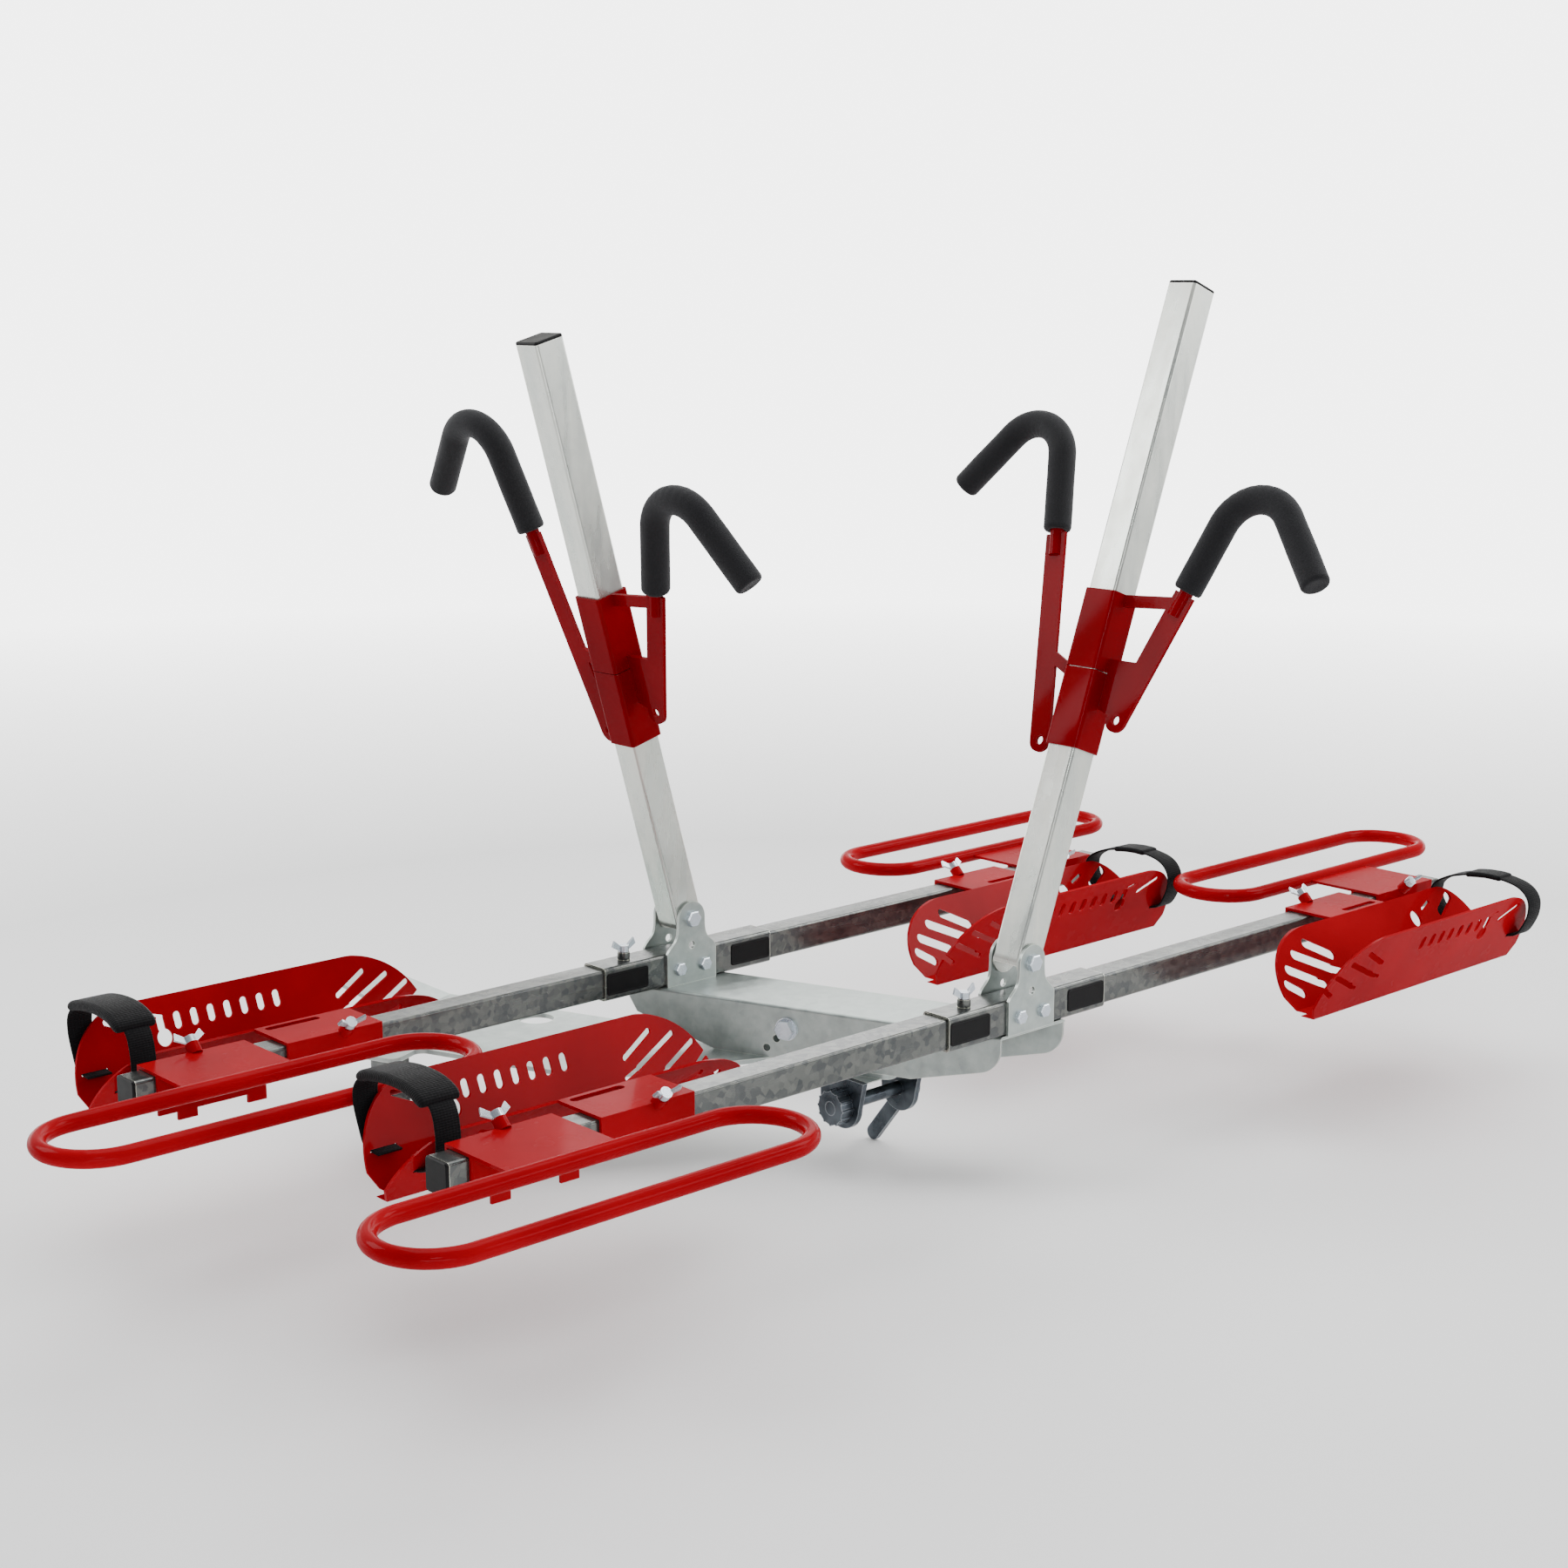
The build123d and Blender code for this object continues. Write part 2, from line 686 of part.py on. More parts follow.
def carrier_plane(row):
    """The mast's plane, moved up to where its lower carrier starts."""
    mast = mast_plane(row)
    origin = mast.from_local_coords((0, LOWER_START[row], 0))
    return Plane(origin=origin, x_dir=mast.x_dir, z_dir=mast.z_dir)


def swept_hook(row, hook, radius, before, short):
    plane = carrier_plane(row)
    points = hook_path(hook, before, short)
    heading = Vector(points[1][0] - points[0][0], points[1][1] - points[0][1], 0)
    root = Plane(
        origin=plane.from_local_coords((points[0][0], points[0][1], 0)),
        z_dir=plane.x_dir * heading.X + plane.y_dir * heading.Y,
    )
    with BuildPart() as rod:
        with BuildLine(plane) as path:
            FilletPolyline(*points, radius=HOOK_RADIUS)
        with BuildSketch(root):
            Circle(radius)
        sweep(path=path.line)
    return rod.part


def make_carrier(row, level):
    """Square sleeve with a flat arm, pierced by a lug hole below and carrying the hook rod."""
    hook = HOOKS[level]
    out = hook["out"]
    lug = hook["lug"]
    tip = between(hook["foam"][0], hook["foam"][1], -ARM_SHORT / FOAM)
    start = hook["start"]
    top = start + CARRIER_LENGTH
    slope = (tip[0] - lug[0]) / (tip[1] - lug[1])
    face = CARRIER / 2 - CARRIER_WALL / 2
    low = start + GUSSET
    strut_s = min(top + GUSSET, hook["foam"][0][1] - STRUT)
    strut_o = lug[0] + slope * (strut_s - lug[1])
    gusset = [(face, start), (face, low), (lug[0] + slope * (low - lug[1]), low), lug]
    if lug[1] > start:
        gusset.append((lug[0], start))
    else:
        gusset.append((CARRIER / 2 + LUG_CLEAR, lug[1] + ARM_WIDTH / 3))
        gusset.append((CARRIER / 2 + LUG_CLEAR, start))
    plane = carrier_plane(row)
    foot = mast_section(row, LOWER_START[row] + start)
    bore = MAST + 2 * CARRIER_FIT
    with BuildPart() as carrier:
        add(square_tube(foot, CARRIER_LENGTH, CARRIER, CARRIER_WALL, TUBE_CORNER + CARRIER_WALL / 2))
        with BuildSketch(plane.offset(-ARM_SHEET / 2)):
            with BuildLine() as arm:
                Line((out * lug[0], lug[1]), (out * tip[0], tip[1]))
            trace(line_width=ARM_WIDTH)
            with Locations((out * lug[0], lug[1])):
                Circle(ARM_WIDTH / 2)
            with BuildLine():
                Polyline(*[(out * o, s) for o, s in gusset], close=True)
            make_face()
            with BuildLine() as strut:
                Line((out * face, top - STRUT / 2), (out * strut_o, strut_s))
            trace(line_width=STRUT)
            with Locations((out * lug[0], lug[1])):
                Circle(ARM_HOLE / 2, mode=Mode.SUBTRACT)
        extrude(amount=ARM_SHEET)
        with BuildSketch(foot):
            Rectangle(bore, bore)
        extrude(amount=CARRIER_LENGTH, mode=Mode.SUBTRACT)
        add(swept_hook(row, hook, HOOK_ROD / 2, ROD_ROOT, FOAM_END + FOAM_FIT))
    return carrier.part


def make_foam(row, level):
    with BuildPart() as foam:
        add(swept_hook(row, HOOKS[level], FOAM / 2, 0, 0))
        add(swept_hook(row, HOOKS[level], HOOK_ROD / 2 + FOAM_FIT, ROD_ROOT, FOAM_END), mode=Mode.SUBTRACT)
    return foam.part


# Wing screws stand at 45 degrees on the saddle's fold and press on the rail's corner
SADDLE_TOP = TUBE + SADDLE_FIT + SADDLE
SADDLE_SIDE = TUBE / 2 + SADDLE_FIT + SADDLE


def fold_plane(unit, x, toward):
    """At a saddle's fold, x along the rail; toward is 1 on the loop side, -1 on the tray side."""
    return Plane(
        origin=unit.from_local_coords((x, toward * SADDLE_SIDE, SADDLE_TOP)),
        x_dir=unit.x_dir,
        z_dir=unit.y_dir * toward + Vector(0, 0, 1),
    )


FOLD_TO_RAIL = sqrt(2) * (SADDLE + SADDLE_FIT + TUBE_CORNER) - TUBE_CORNER
TIP_GAP = 0.3


def fold_boss(fold):
    """Boss welded on a fold."""
    with BuildPart() as boss:
        with BuildSketch(fold.offset(-SADDLE)):
            Circle(WING_BOSS / 2)
        extrude(amount=SADDLE + WING_BOSS_HEIGHT)
    return boss.part


def fold_drill(fold):
    """The hole through a boss and the fold under it."""
    with BuildPart() as drill:
        with BuildSketch(fold.offset(WING_BOSS_HEIGHT)):
            Circle(WING_SHANK / 2 + PIN_FIT)
        extrude(amount=-2 * (WING_BOSS_HEIGHT + SADDLE))
    return drill.part


def wing_screw(seat, depth):
    """Screw with two raised wings; the seat plane is the sheet below its boss."""
    collar = WING_SHANK + 5
    base = WING_BOSS_HEIGHT + SLIDE_FIT
    side_view = Plane(origin=seat.origin, x_dir=seat.x_dir, z_dir=-seat.y_dir)
    with BuildPart() as screw:
        with BuildSketch(seat.offset(-depth)):
            Circle(WING_SHANK / 2)
        extrude(amount=depth + base)
        with BuildSketch(seat.offset(base)):
            Circle(collar / 2)
        extrude(amount=collar * 0.6)
        with BuildSketch(side_view):
            for side in (-1, 1):
                with BuildLine():
                    Polyline(
                        (0, base),
                        (side * collar * 0.4, base),
                        (side * WING_SPAN / 2, base + WING_RISE * 0.7),
                        (side * WING_SPAN * 0.42, base + WING_RISE + 4),
                        (side * collar * 0.4, base + WING_RISE * 0.7),
                        (0, base + WING_RISE * 0.5),
                        close=True,
                    )
                make_face()
        extrude(amount=WING_SHANK / 5, both=True)
    return screw.part


# Wheel loop: a bent rod welded to a saddle that is folded over the rail
LOOP_SCREW_X = -80.0


def make_loop(row, side):
    unit = unit_plane(row, side)
    top = unit.offset(SADDLE_TOP - SADDLE)
    near = LOOP_OFFSET - LOOP_WIDTH / 2
    outer_end = -LOOP_SADDLE_INSET
    inner_end = outer_end - LOOP_SADDLE_LENGTH
    middle = (outer_end + inner_end) / 2
    inside = SADDLE_SIDE - SADDLE
    fold = fold_plane(unit, LOOP_SCREW_X, -1)
    with BuildPart() as loop:
        with BuildSketch(top):
            with Locations((middle, 0)):
                Rectangle(LOOP_SADDLE_LENGTH, SADDLE_SIDE, align=(Align.CENTER, Align.MAX))
                Rectangle(LOOP_SADDLE_LENGTH, near, align=(Align.CENTER, Align.MIN))
        extrude(amount=SADDLE)
        with BuildSketch(upright_along(unit, inside)):
            with Locations((middle, SADDLE_TOP)):
                Rectangle(LOOP_SADDLE_LENGTH, LOOP_FLANGE, align=(Align.CENTER, Align.MAX))
            for x in (outer_end - 1.5 * TAB_WIDTH, inner_end + TAB_WIDTH / 2):
                with Locations((x, SADDLE_TOP - LOOP_FLANGE)):
                    Rectangle(TAB_WIDTH, TAB_DROP, align=(Align.CENTER, Align.MAX))
        extrude(amount=-SADDLE)
        with BuildSketch(upright_along(unit, -inside)):
            with Locations((middle, SADDLE_TOP)):
                Rectangle(LOOP_SADDLE_LENGTH, LOOP_FLANGE / 3, align=(Align.CENTER, Align.MAX))
        extrude(amount=SADDLE)
        add(fold_boss(fold))
        centre = unit.from_local_coords((-LOOP_INSET, LOOP_OFFSET, SADDLE_TOP - SADDLE / 2))
        ring = Plane(origin=centre, x_dir=unit.x_dir, z_dir=(0, 0, 1))
        straight = (LOOP_LENGTH - LOOP_WIDTH) / 2
        half = LOOP_WIDTH / 2
        with BuildLine(ring) as path:
            Line((-straight, -half), (straight, -half))
            ThreePointArc((straight, -half), (straight + half, 0), (straight, half))
            Line((straight, half), (-straight, half))
            ThreePointArc((-straight, half), (-straight - half, 0), (-straight, -half))
        rod_start = ring.from_local_coords((-straight, -half, 0))
        section = Plane(origin=rod_start, x_dir=(0, 0, 1), z_dir=unit.x_dir)
        with BuildSketch(section):
            Circle(LOOP_ROD / 2)
        sweep(path=path.wires()[0])
        add(fold_drill(fold), mode=Mode.SUBTRACT)
    return loop.part


# Tray section, across the rail: (towards the loop, up from the rail's underside)
TRAY_FACE = TRAY_FLOOR / 2
INNER_TOP = (-WHEEL_OFFSET + TRAY_FACE + INNER_WALL_REACH, SADDLE_TOP)
INNER_FOOT = (-WHEEL_OFFSET + TRAY_FACE, -TRAY_DROP)
OUTER_FOOT = (-WHEEL_OFFSET - TRAY_FACE, -TRAY_DROP)
OUTER_TOP = (-WHEEL_OFFSET - TRAY_FACE - OUTER_WALL_REACH, SADDLE_TOP + OUTER_WALL_RISE)
TRAY_HIP = -22.0
FOOT_SLANT = 8.0
TRAY_SCREW_X = -216.0
# Of each wall: inner end, the length it is rounded over, outer end, the length that is rounded
WALL_ENDS = {
    "inner": (-TRAY_INSET - TRAY_LENGTH + 12, 88.0, -TRAY_INSET + 12, 48.0),
    "outer": (-TRAY_INSET - TRAY_LENGTH, 84.0, -TRAY_INSET, 66.0),
}
OUTER_SHIFT = (-22.0, 12.0)
OUTER_NARROWER = 0.65
# Slots in the tray ends: first point, second point (x along the rail, z), width
INNER_SLOTS = [
    ((-319, 18), (-286, 1), 9),
    ((-345, 11), (-298, -10), 9),
    ((-366, 0), (-330, -17), 9),
    ((-379, -12), (-362, -23), 9),
    ((-302, -9), (-282, -16), 7),
    ((-330, -18), (-320, -22), 7),
]
OUTER_SLOTS = [
    ((-66, 10), (-38, 22), 9),
    ((-95, 17), (-78, 22), 4),
]
TRAY_HOLE = (-115, 10)
TRAY_HOLE_RADIUS = 8.0
WINDOW_ROW = 8
WINDOW_PITCH = 18.0
WINDOW_START = -240.0
WINDOW = (8.0, 16.0)
WINDOW_Z = 23.0
CRESCENT = (-190.0, 58.0, 9.0)
STRAP_SLOT = STRAP_THICK + 0.6
STRAP_SIDE_ROOM = 1.0
STRAP_X = -38.0
STRAP_Z = -6.0
STRAP_TURN = 6.0


def wall_y(foot, top, z):
    """Where a tray wall's outside face lies across the rail at height z."""
    return foot[0] + (top[0] - foot[0]) * (z - foot[1]) / (top[1] - foot[1])


def end_outline(wall, top):
    """Side view of a tray wall: flat floor, rounded ends, straight top."""
    inner_end, inner_radius, outer_end, outer_radius = WALL_ENDS[wall]
    inner_x = inner_end + inner_radius
    outer_x = outer_end - outer_radius
    floor = -TRAY_DROP - 1
    rise = top - TRAY_HIP
    with BuildLine() as outline:
        Line((inner_end + FOOT_SLANT, floor), (outer_end - FOOT_SLANT, floor))
        Line((outer_end - FOOT_SLANT, floor), (outer_end, TRAY_HIP))
        EllipticalCenterArc((outer_x, TRAY_HIP), outer_radius, rise, 0, arc_size=90)
        Line((outer_x, top), (inner_x, top))
        EllipticalCenterArc((inner_x, TRAY_HIP), inner_radius, rise, 90, arc_size=90)
        Line((inner_end, TRAY_HIP), (inner_end + FOOT_SLANT, floor))
    return outline.line


def tray_blank(unit):
    """What is kept of the folded sheet on each side of the wheel's plane."""
    middle = upright_along(unit, -WHEEL_OFFSET)
    with BuildPart() as blank:
        with BuildSketch(middle):
            add(end_outline("inner", INNER_TOP[1]))
            make_face()
        extrude(amount=-WHEEL_OFFSET)
        with BuildSketch(middle):
            add(end_outline("outer", OUTER_TOP[1]))
            make_face()
        extrude(amount=WHEEL_OFFSET)
    return blank.part


def tray_slots(unit):
    """The end slots of both walls; the taller wall's lie further in and higher."""
    middle = upright_along(unit, -WHEEL_OFFSET)
    with BuildPart() as slots:
        walls = ((-WHEEL_OFFSET, (0, 0), 1.0), (WHEEL_OFFSET, OUTER_SHIFT, OUTER_NARROWER))
        for depth, (shift_x, shift_z), narrower in walls:
            with BuildSketch(middle):
                for a, b, wide in INNER_SLOTS + OUTER_SLOTS:
                    width = wide * narrower
                    angle = degrees(atan2(b[1] - a[1], b[0] - a[0]))
                    x = (a[0] + b[0]) / 2 + shift_x
                    z = (a[1] + b[1]) / 2 + shift_z
                    with Locations(Location((x, z, 0), (0, 0, angle))):
                        SlotOverall(distance(a, b) + width, width)
            extrude(amount=depth)
        with BuildSketch(middle):
            with Locations(TRAY_HOLE):
                Circle(TRAY_HOLE_RADIUS)
            with Locations((STRAP_X, STRAP_Z)):
                Rectangle(STRAP_WIDTH + 2 * STRAP_SIDE_ROOM, STRAP_SLOT)
        extrude(amount=WHEEL_OFFSET, both=True)
        with BuildSketch(middle):
            for i in range(WINDOW_ROW):
                with Locations((WINDOW_START + i * WINDOW_PITCH, WINDOW_Z)):
                    SlotOverall(WINDOW[1], WINDOW[0], rotation=90)
        extrude(amount=WHEEL_OFFSET)
    return slots.part


def make_tray(row, side):
    unit = unit_plane(row, side)
    start = upright_across(unit, -TRAY_INSET - TRAY_LENGTH - FOOT_SLANT)
    outer_end = -TRAY_SADDLE_INSET
    middle = outer_end - TRAY_SADDLE_LENGTH / 2
    fold = fold_plane(unit, TRAY_SCREW_X, 1)
    blank = tray_blank(unit)
    slots = tray_slots(unit)
    with BuildPart() as tray:
        with BuildSketch(start):
            with BuildLine():
                Polyline(INNER_TOP, INNER_FOOT, OUTER_FOOT, OUTER_TOP)
                offset(amount=TRAY_SHEET, side=Side.LEFT)
            make_face()
        extrude(amount=TRAY_LENGTH + 4 * FOOT_SLANT)
        add(blank, mode=Mode.INTERSECT)
        add(slots, mode=Mode.SUBTRACT)
        with BuildSketch(unit.offset(SADDLE_TOP - SADDLE)):
            with Locations((middle, INNER_TOP[0])):
                Rectangle(TRAY_SADDLE_LENGTH, SADDLE_SIDE - INNER_TOP[0], align=(Align.CENTER, Align.MIN))
            with Locations((CRESCENT[0], INNER_TOP[0] + CRESCENT[2])):
                SlotOverall(CRESCENT[1], CRESCENT[2], mode=Mode.SUBTRACT)
        extrude(amount=SADDLE)
        with BuildSketch(upright_along(unit, SADDLE_SIDE - SADDLE)):
            with Locations((middle, SADDLE_TOP)):
                Rectangle(TRAY_SADDLE_LENGTH, TRAY_FLANGE, align=(Align.CENTER, Align.MAX))
        extrude(amount=-SADDLE)
        add(fold_boss(fold))
        add(fold_drill(fold), mode=Mode.SUBTRACT)
    return tray.part


# Strap lines over the trough between the two walls: (towards the loop, up)
STRAP_ARCH = {
    "left": [
        *[(-35, 18), (-38, 36), (-44, 54), (-58, 64), (-81, 68)],
        *[(-110, 67), (-139, 60), (-160, 46), (-161, 30), (-152, 9)],
    ],
    "right": [
        *[(-35, 18), (-37, 36), (-54, 48), (-80, 55), (-108, 59)],
        *[(-133, 56), (-152, 50), (-161, 38), (-162, 24), (-154, 6)],
    ],
}


def make_strap(row, side):
    """Webbing that arches over the trough, with its ends turned in through both walls."""
    unit = unit_plane(row, side)
    section = upright_across(unit, STRAP_X - STRAP_WIDTH / 2)
    inner = wall_y(INNER_FOOT, INNER_TOP, STRAP_Z)
    outer = wall_y(OUTER_FOOT, OUTER_TOP, STRAP_Z)
    inset = 4 * STRAP_THICK
    points = [(inner - inset, STRAP_Z), (inner + inset, STRAP_Z)]
    points += STRAP_ARCH[side]
    points += [(outer - inset, STRAP_Z), (outer + inset, STRAP_Z)]
    with BuildPart() as strap:
        with BuildSketch(section):
            with BuildLine():
                FilletPolyline(*points, radius=STRAP_TURN)
            trace(line_width=STRAP_THICK)
        extrude(amount=STRAP_WIDTH)
    return strap.part


save(make_spine(), "spine_frame")
save(make_tongue(), "tongue_plate")
leg, foot = make_leg()
save(leg, "stand_leg")
save(foot, "stand_foot")
save(make_clamp_cheeks(), "clamp_cheeks")
save(make_clamp_rod(), "clamp_rod_lever")
save(make_clamp_knob(), "clamp_knob")
save(make_frame_bolt(), "frame_bolt")
save(make_bracket_bolts(), "bracket_bolts")
save(make_pivot_bolts(), "pivot_bolts")
for row in ("front", "back"):
    save(make_sleeve(row), row + "_sleeve")
    save(make_cheek(row, ROW_Y[row] - SLEEVE / 2 - CHEEK), row + "_cheek_near")
    save(make_cheek(row, ROW_Y[row] + SLEEVE / 2), row + "_cheek_far")
    save(make_mast(row), row + "_mast")
    save(make_mast_cap(row), row + "_mast_cap")
    save(wing_screw(sleeve_screw_plane(row), SLEEVE_WALL + SLIDE_FIT - TIP_GAP), row + "_sleeve_screw")
    for level in ("lower", "upper"):
        save(make_carrier(row, level), row + "_" + level + "_hook")
        save(make_foam(row, level), row + "_" + level + "_foam")
for row, side in CORNERS:
    corner = row + "_" + side
    unit = unit_plane(row, side)
    save(make_rail(row, side), corner + "_rail")
    save(make_rail_cap(row, side), corner + "_rail_cap")
    save(make_loop(row, side), corner + "_wheel_loop")
    save(make_tray(row, side), corner + "_tray")
    save(make_strap(row, side), corner + "_strap")
    save(wing_screw(fold_plane(unit, LOOP_SCREW_X, -1), FOLD_TO_RAIL - TIP_GAP), corner + "_loop_screw")
    save(wing_screw(fold_plane(unit, TRAY_SCREW_X, 1), FOLD_TO_RAIL - TIP_GAP), corner + "_tray_screw")
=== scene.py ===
"""Hitch bike rack for four bikes: finishes, foam sleeves, straps and small fittings on the frame.

Metres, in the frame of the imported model: +X along the rails, +Y towards the vehicle, +Z up.
Sizes of pieces are named in millimetres, as in the source of the solids.
"""

from math import cos, pi, radians, sin, tan

import bpy
from mathutils import Matrix, Vector, noise


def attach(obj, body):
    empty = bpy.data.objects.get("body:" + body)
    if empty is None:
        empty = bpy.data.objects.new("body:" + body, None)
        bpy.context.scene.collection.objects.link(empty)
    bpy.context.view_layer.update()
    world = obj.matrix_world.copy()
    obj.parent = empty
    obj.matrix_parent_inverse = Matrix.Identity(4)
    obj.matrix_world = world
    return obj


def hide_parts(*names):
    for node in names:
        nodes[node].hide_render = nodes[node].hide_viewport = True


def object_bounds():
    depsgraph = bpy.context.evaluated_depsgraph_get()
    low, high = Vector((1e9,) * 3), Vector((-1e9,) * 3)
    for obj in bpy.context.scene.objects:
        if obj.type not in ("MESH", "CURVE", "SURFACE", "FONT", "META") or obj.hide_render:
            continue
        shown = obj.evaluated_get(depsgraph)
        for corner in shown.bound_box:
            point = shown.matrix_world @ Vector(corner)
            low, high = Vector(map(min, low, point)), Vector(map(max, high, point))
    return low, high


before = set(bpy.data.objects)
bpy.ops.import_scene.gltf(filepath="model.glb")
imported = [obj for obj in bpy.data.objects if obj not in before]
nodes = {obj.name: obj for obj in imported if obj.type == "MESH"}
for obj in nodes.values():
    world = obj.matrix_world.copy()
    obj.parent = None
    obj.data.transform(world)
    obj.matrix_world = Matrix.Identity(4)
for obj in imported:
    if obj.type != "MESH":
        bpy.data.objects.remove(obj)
cad_low, cad_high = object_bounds()

MM = 0.001
ROWS = ("front", "back")
CORNERS = ("front_left", "front_right", "back_left", "back_right")

# Camera and lights
CAMERA_PLACE = (-1.651, -1.677, 0.7785)
CAMERA_RIGHT = Vector((0.7388, -0.6739, 0.0))
CAMERA_BACK = Vector((-0.6601, -0.7237, 0.2013))
CAMERA_LENS = 55.71


def make_camera():
    """The camera at the photograph's viewing angle, level from side to side."""
    data = bpy.data.cameras.new("camera")
    data.sensor_fit = "HORIZONTAL"
    data.sensor_width = 36.0
    data.lens = CAMERA_LENS
    camera = bpy.data.objects.new("camera", data)
    bpy.context.scene.collection.objects.link(camera)
    back = CAMERA_BACK.normalized()
    right = (CAMERA_RIGHT - back * CAMERA_RIGHT.dot(back)).normalized()
    up = back.cross(right)
    turn = Matrix((right, up, back)).transposed().to_4x4()
    camera.matrix_world = Matrix.Translation(CAMERA_PLACE) @ turn
    bpy.context.scene.camera = camera


def make_light(name, place, target, size, power):
    """A rectangular light at a place, turned to a target."""
    data = bpy.data.lights.new(name, "AREA")
    data.shape = "RECTANGLE"
    data.size, data.size_y = size
    data.energy = power
    light = bpy.data.objects.new(name, data)
    bpy.context.scene.collection.objects.link(light)
    light.location = place
    heading = Vector(target) - Vector(place)
    light.rotation_euler = heading.to_track_quat("-Z", "Y").to_euler()


def make_lights():
    make_light("light_top", (0.2, 0.3, 2.9), (0, 0, 0.2), (2.6, 2.2), 60)
    make_light("light_back", (2.6, 2.4, 2.0), (0, 0, 0.2), (2.0, 1.4), 30)
    make_light("light_left", (-1.9, 2.3, 1.9), (-1.3, 1.7, 0), (1.6, 1.6), 55)
    make_light("light_front", (2.4, -2.9, 1.3), (0, 0, 0.6), (2.3, 1.2), 36)
    make_light("light_edge", (2.2, -0.9, 2.2), (0, 0, 0.1), (1.3, 1.3), 40)
    make_light("light_low", (-1.5, -1.65, 0.16), (0, 0, 0.25), (1.5, 0.28), 9)
    make_light("light_camera", (-2.6, -3.1, 2.0), (0, 0, 0.3), (1.0, 0.7), 26)


# Node tree helpers
def add_node(material, kind, settings=None, **inputs):
    made = material.node_tree.nodes.new("ShaderNode" + kind)
    for name, value in (settings or {}).items():
        setattr(made, name, value)
    for name, value in inputs.items():
        made.inputs[name.replace("_", " ")].default_value = value
    return made


def join(material, output, target):
    material.node_tree.links.new(output, target)


def new_material(name, colour, roughness, metallic=0.0, **extra):
    material = bpy.data.materials.new(name)
    material.use_nodes = True
    surface = material.node_tree.nodes["Principled BSDF"]
    surface.inputs["Base Color"].default_value = (*colour, 1)
    surface.inputs["Roughness"].default_value = roughness
    surface.inputs["Metallic"].default_value = metallic
    for key, value in extra.items():
        surface.inputs[key.replace("_", " ")].default_value = value
    return material, surface


def place_on_object(material, scale=(1, 1, 1)):
    coordinates = add_node(material, "TexCoord")
    mapping = add_node(material, "Mapping", Scale=scale)
    join(material, coordinates.outputs["Object"], mapping.inputs["Vector"])
    return mapping.outputs["Vector"]


def noise_at(material, vector, scale, detail, roughness=0.5):
    texture = add_node(material, "TexNoise", Scale=scale, Detail=detail, Roughness=roughness)
    join(material, vector, texture.inputs["Vector"])
    return texture.outputs["Fac"]


def spread(material, value, low, high, from_low=0.3, from_high=0.7):
    """Maps a value from one range to another; most noise lies between 0.3 and 0.7."""
    remap = add_node(material, "MapRange", From_Min=from_low, From_Max=from_high, To_Min=low, To_Max=high)
    join(material, value, remap.inputs["Value"])
    return remap.outputs["Result"]


def mix(material, factor, dark, light):
    """A colour between two, each a colour or a socket."""
    blend = add_node(material, "Mix", {"data_type": "RGBA"})
    join(material, factor, blend.inputs["Factor"])
    for socket, value in ((blend.inputs[6], dark), (blend.inputs[7], light)):
        if isinstance(value, tuple):
            socket.default_value = (*value, 1)
        else:
            join(material, value, socket)
    return blend.outputs[2]


FULL_EDGE = 0.75


def edge_wear_and_highlight(material, base, worn_and_lit_colour, radius, most):
    """The base colour, going over to a worn and lit one along edges sharper than the radius: rubbed wear on
    some finishes, a painted highlight on others.

    The cosine between the bevelled and the true normal is 1 on flat faces and FULL_EDGE on sharp edges.
    """
    bevel = add_node(material, "Bevel", {"samples": 6}, Radius=radius)
    true = add_node(material, "NewGeometry")
    turned = add_node(material, "VectorMath", {"operation": "DOT_PRODUCT"})
    join(material, bevel.outputs["Normal"], turned.inputs[0])
    join(material, true.outputs["Normal"], turned.inputs[1])
    edge = spread(material, turned.outputs["Value"], 1.0, 0.0, FULL_EDGE, 1.0)
    return mix(material, spread(material, edge, 0.0, most, 0, 1), base, worn_and_lit_colour)


def bump(material, surface, height, strength, distance, below=None):
    relief = add_node(material, "Bump", Strength=strength, Distance=distance)
    join(material, height, relief.inputs["Height"])
    if below is not None:
        join(material, below, relief.inputs["Normal"])
    join(material, relief.outputs["Normal"], surface.inputs["Normal"])
    return relief.outputs["Normal"]


# Backdrop: white ahead of the camera, softer above that, dim elsewhere for the fronts to reflect
BACKDROP_HEADING = (0.674, 0.739, 0.0)
ROOM_DIM = (0.32, 0.33, 0.345)
ROOM_SOFT = (1.5, 1.5, 1.45)
ROOM_BRIGHT = (5.0, 5.0, 5.0)
# Where bright goes over to soft, as the height of a direction, and dim to white, as how far it faces ahead
SOFT_ABOVE = (0.12, 0.2)
WHITE_AHEAD = (-0.15, 0.9)
# The floor goes over to a glow of the room's colour, painted light, between these distances, in metres
FLOOR_NEAR = 1.5
FLOOR_FAR = 4.5
FLOOR_REACH = 60.0
FLOOR_GAP = 0.0005


def room_glow(tree, heading):
    """Colour of the room in a direction."""
    facing = add_node(tree, "VectorMath", {"operation": "DOT_PRODUCT"})
    facing.inputs[1].default_value = BACKDROP_HEADING
    join(tree, heading, facing.inputs[0])
    height = add_node(tree, "SeparateXYZ")
    join(tree, heading, height.inputs[0])
    above = spread(tree, height.outputs["Z"], 0.0, 1.0, *SOFT_ABOVE)
    ahead = spread(tree, facing.outputs["Value"], 0.0, 1.0, *WHITE_AHEAD)
    return mix(tree, ahead, ROOM_DIM, mix(tree, above, ROOM_BRIGHT, ROOM_SOFT))


def make_room():
    world = bpy.data.worlds.new("studio")
    world.use_nodes = True
    background = world.node_tree.nodes["Background"]
    coordinates = add_node(world, "TexCoord")
    join(world, room_glow(world, coordinates.outputs["Generated"]), background.inputs["Color"])
    bpy.context.scene.world = world


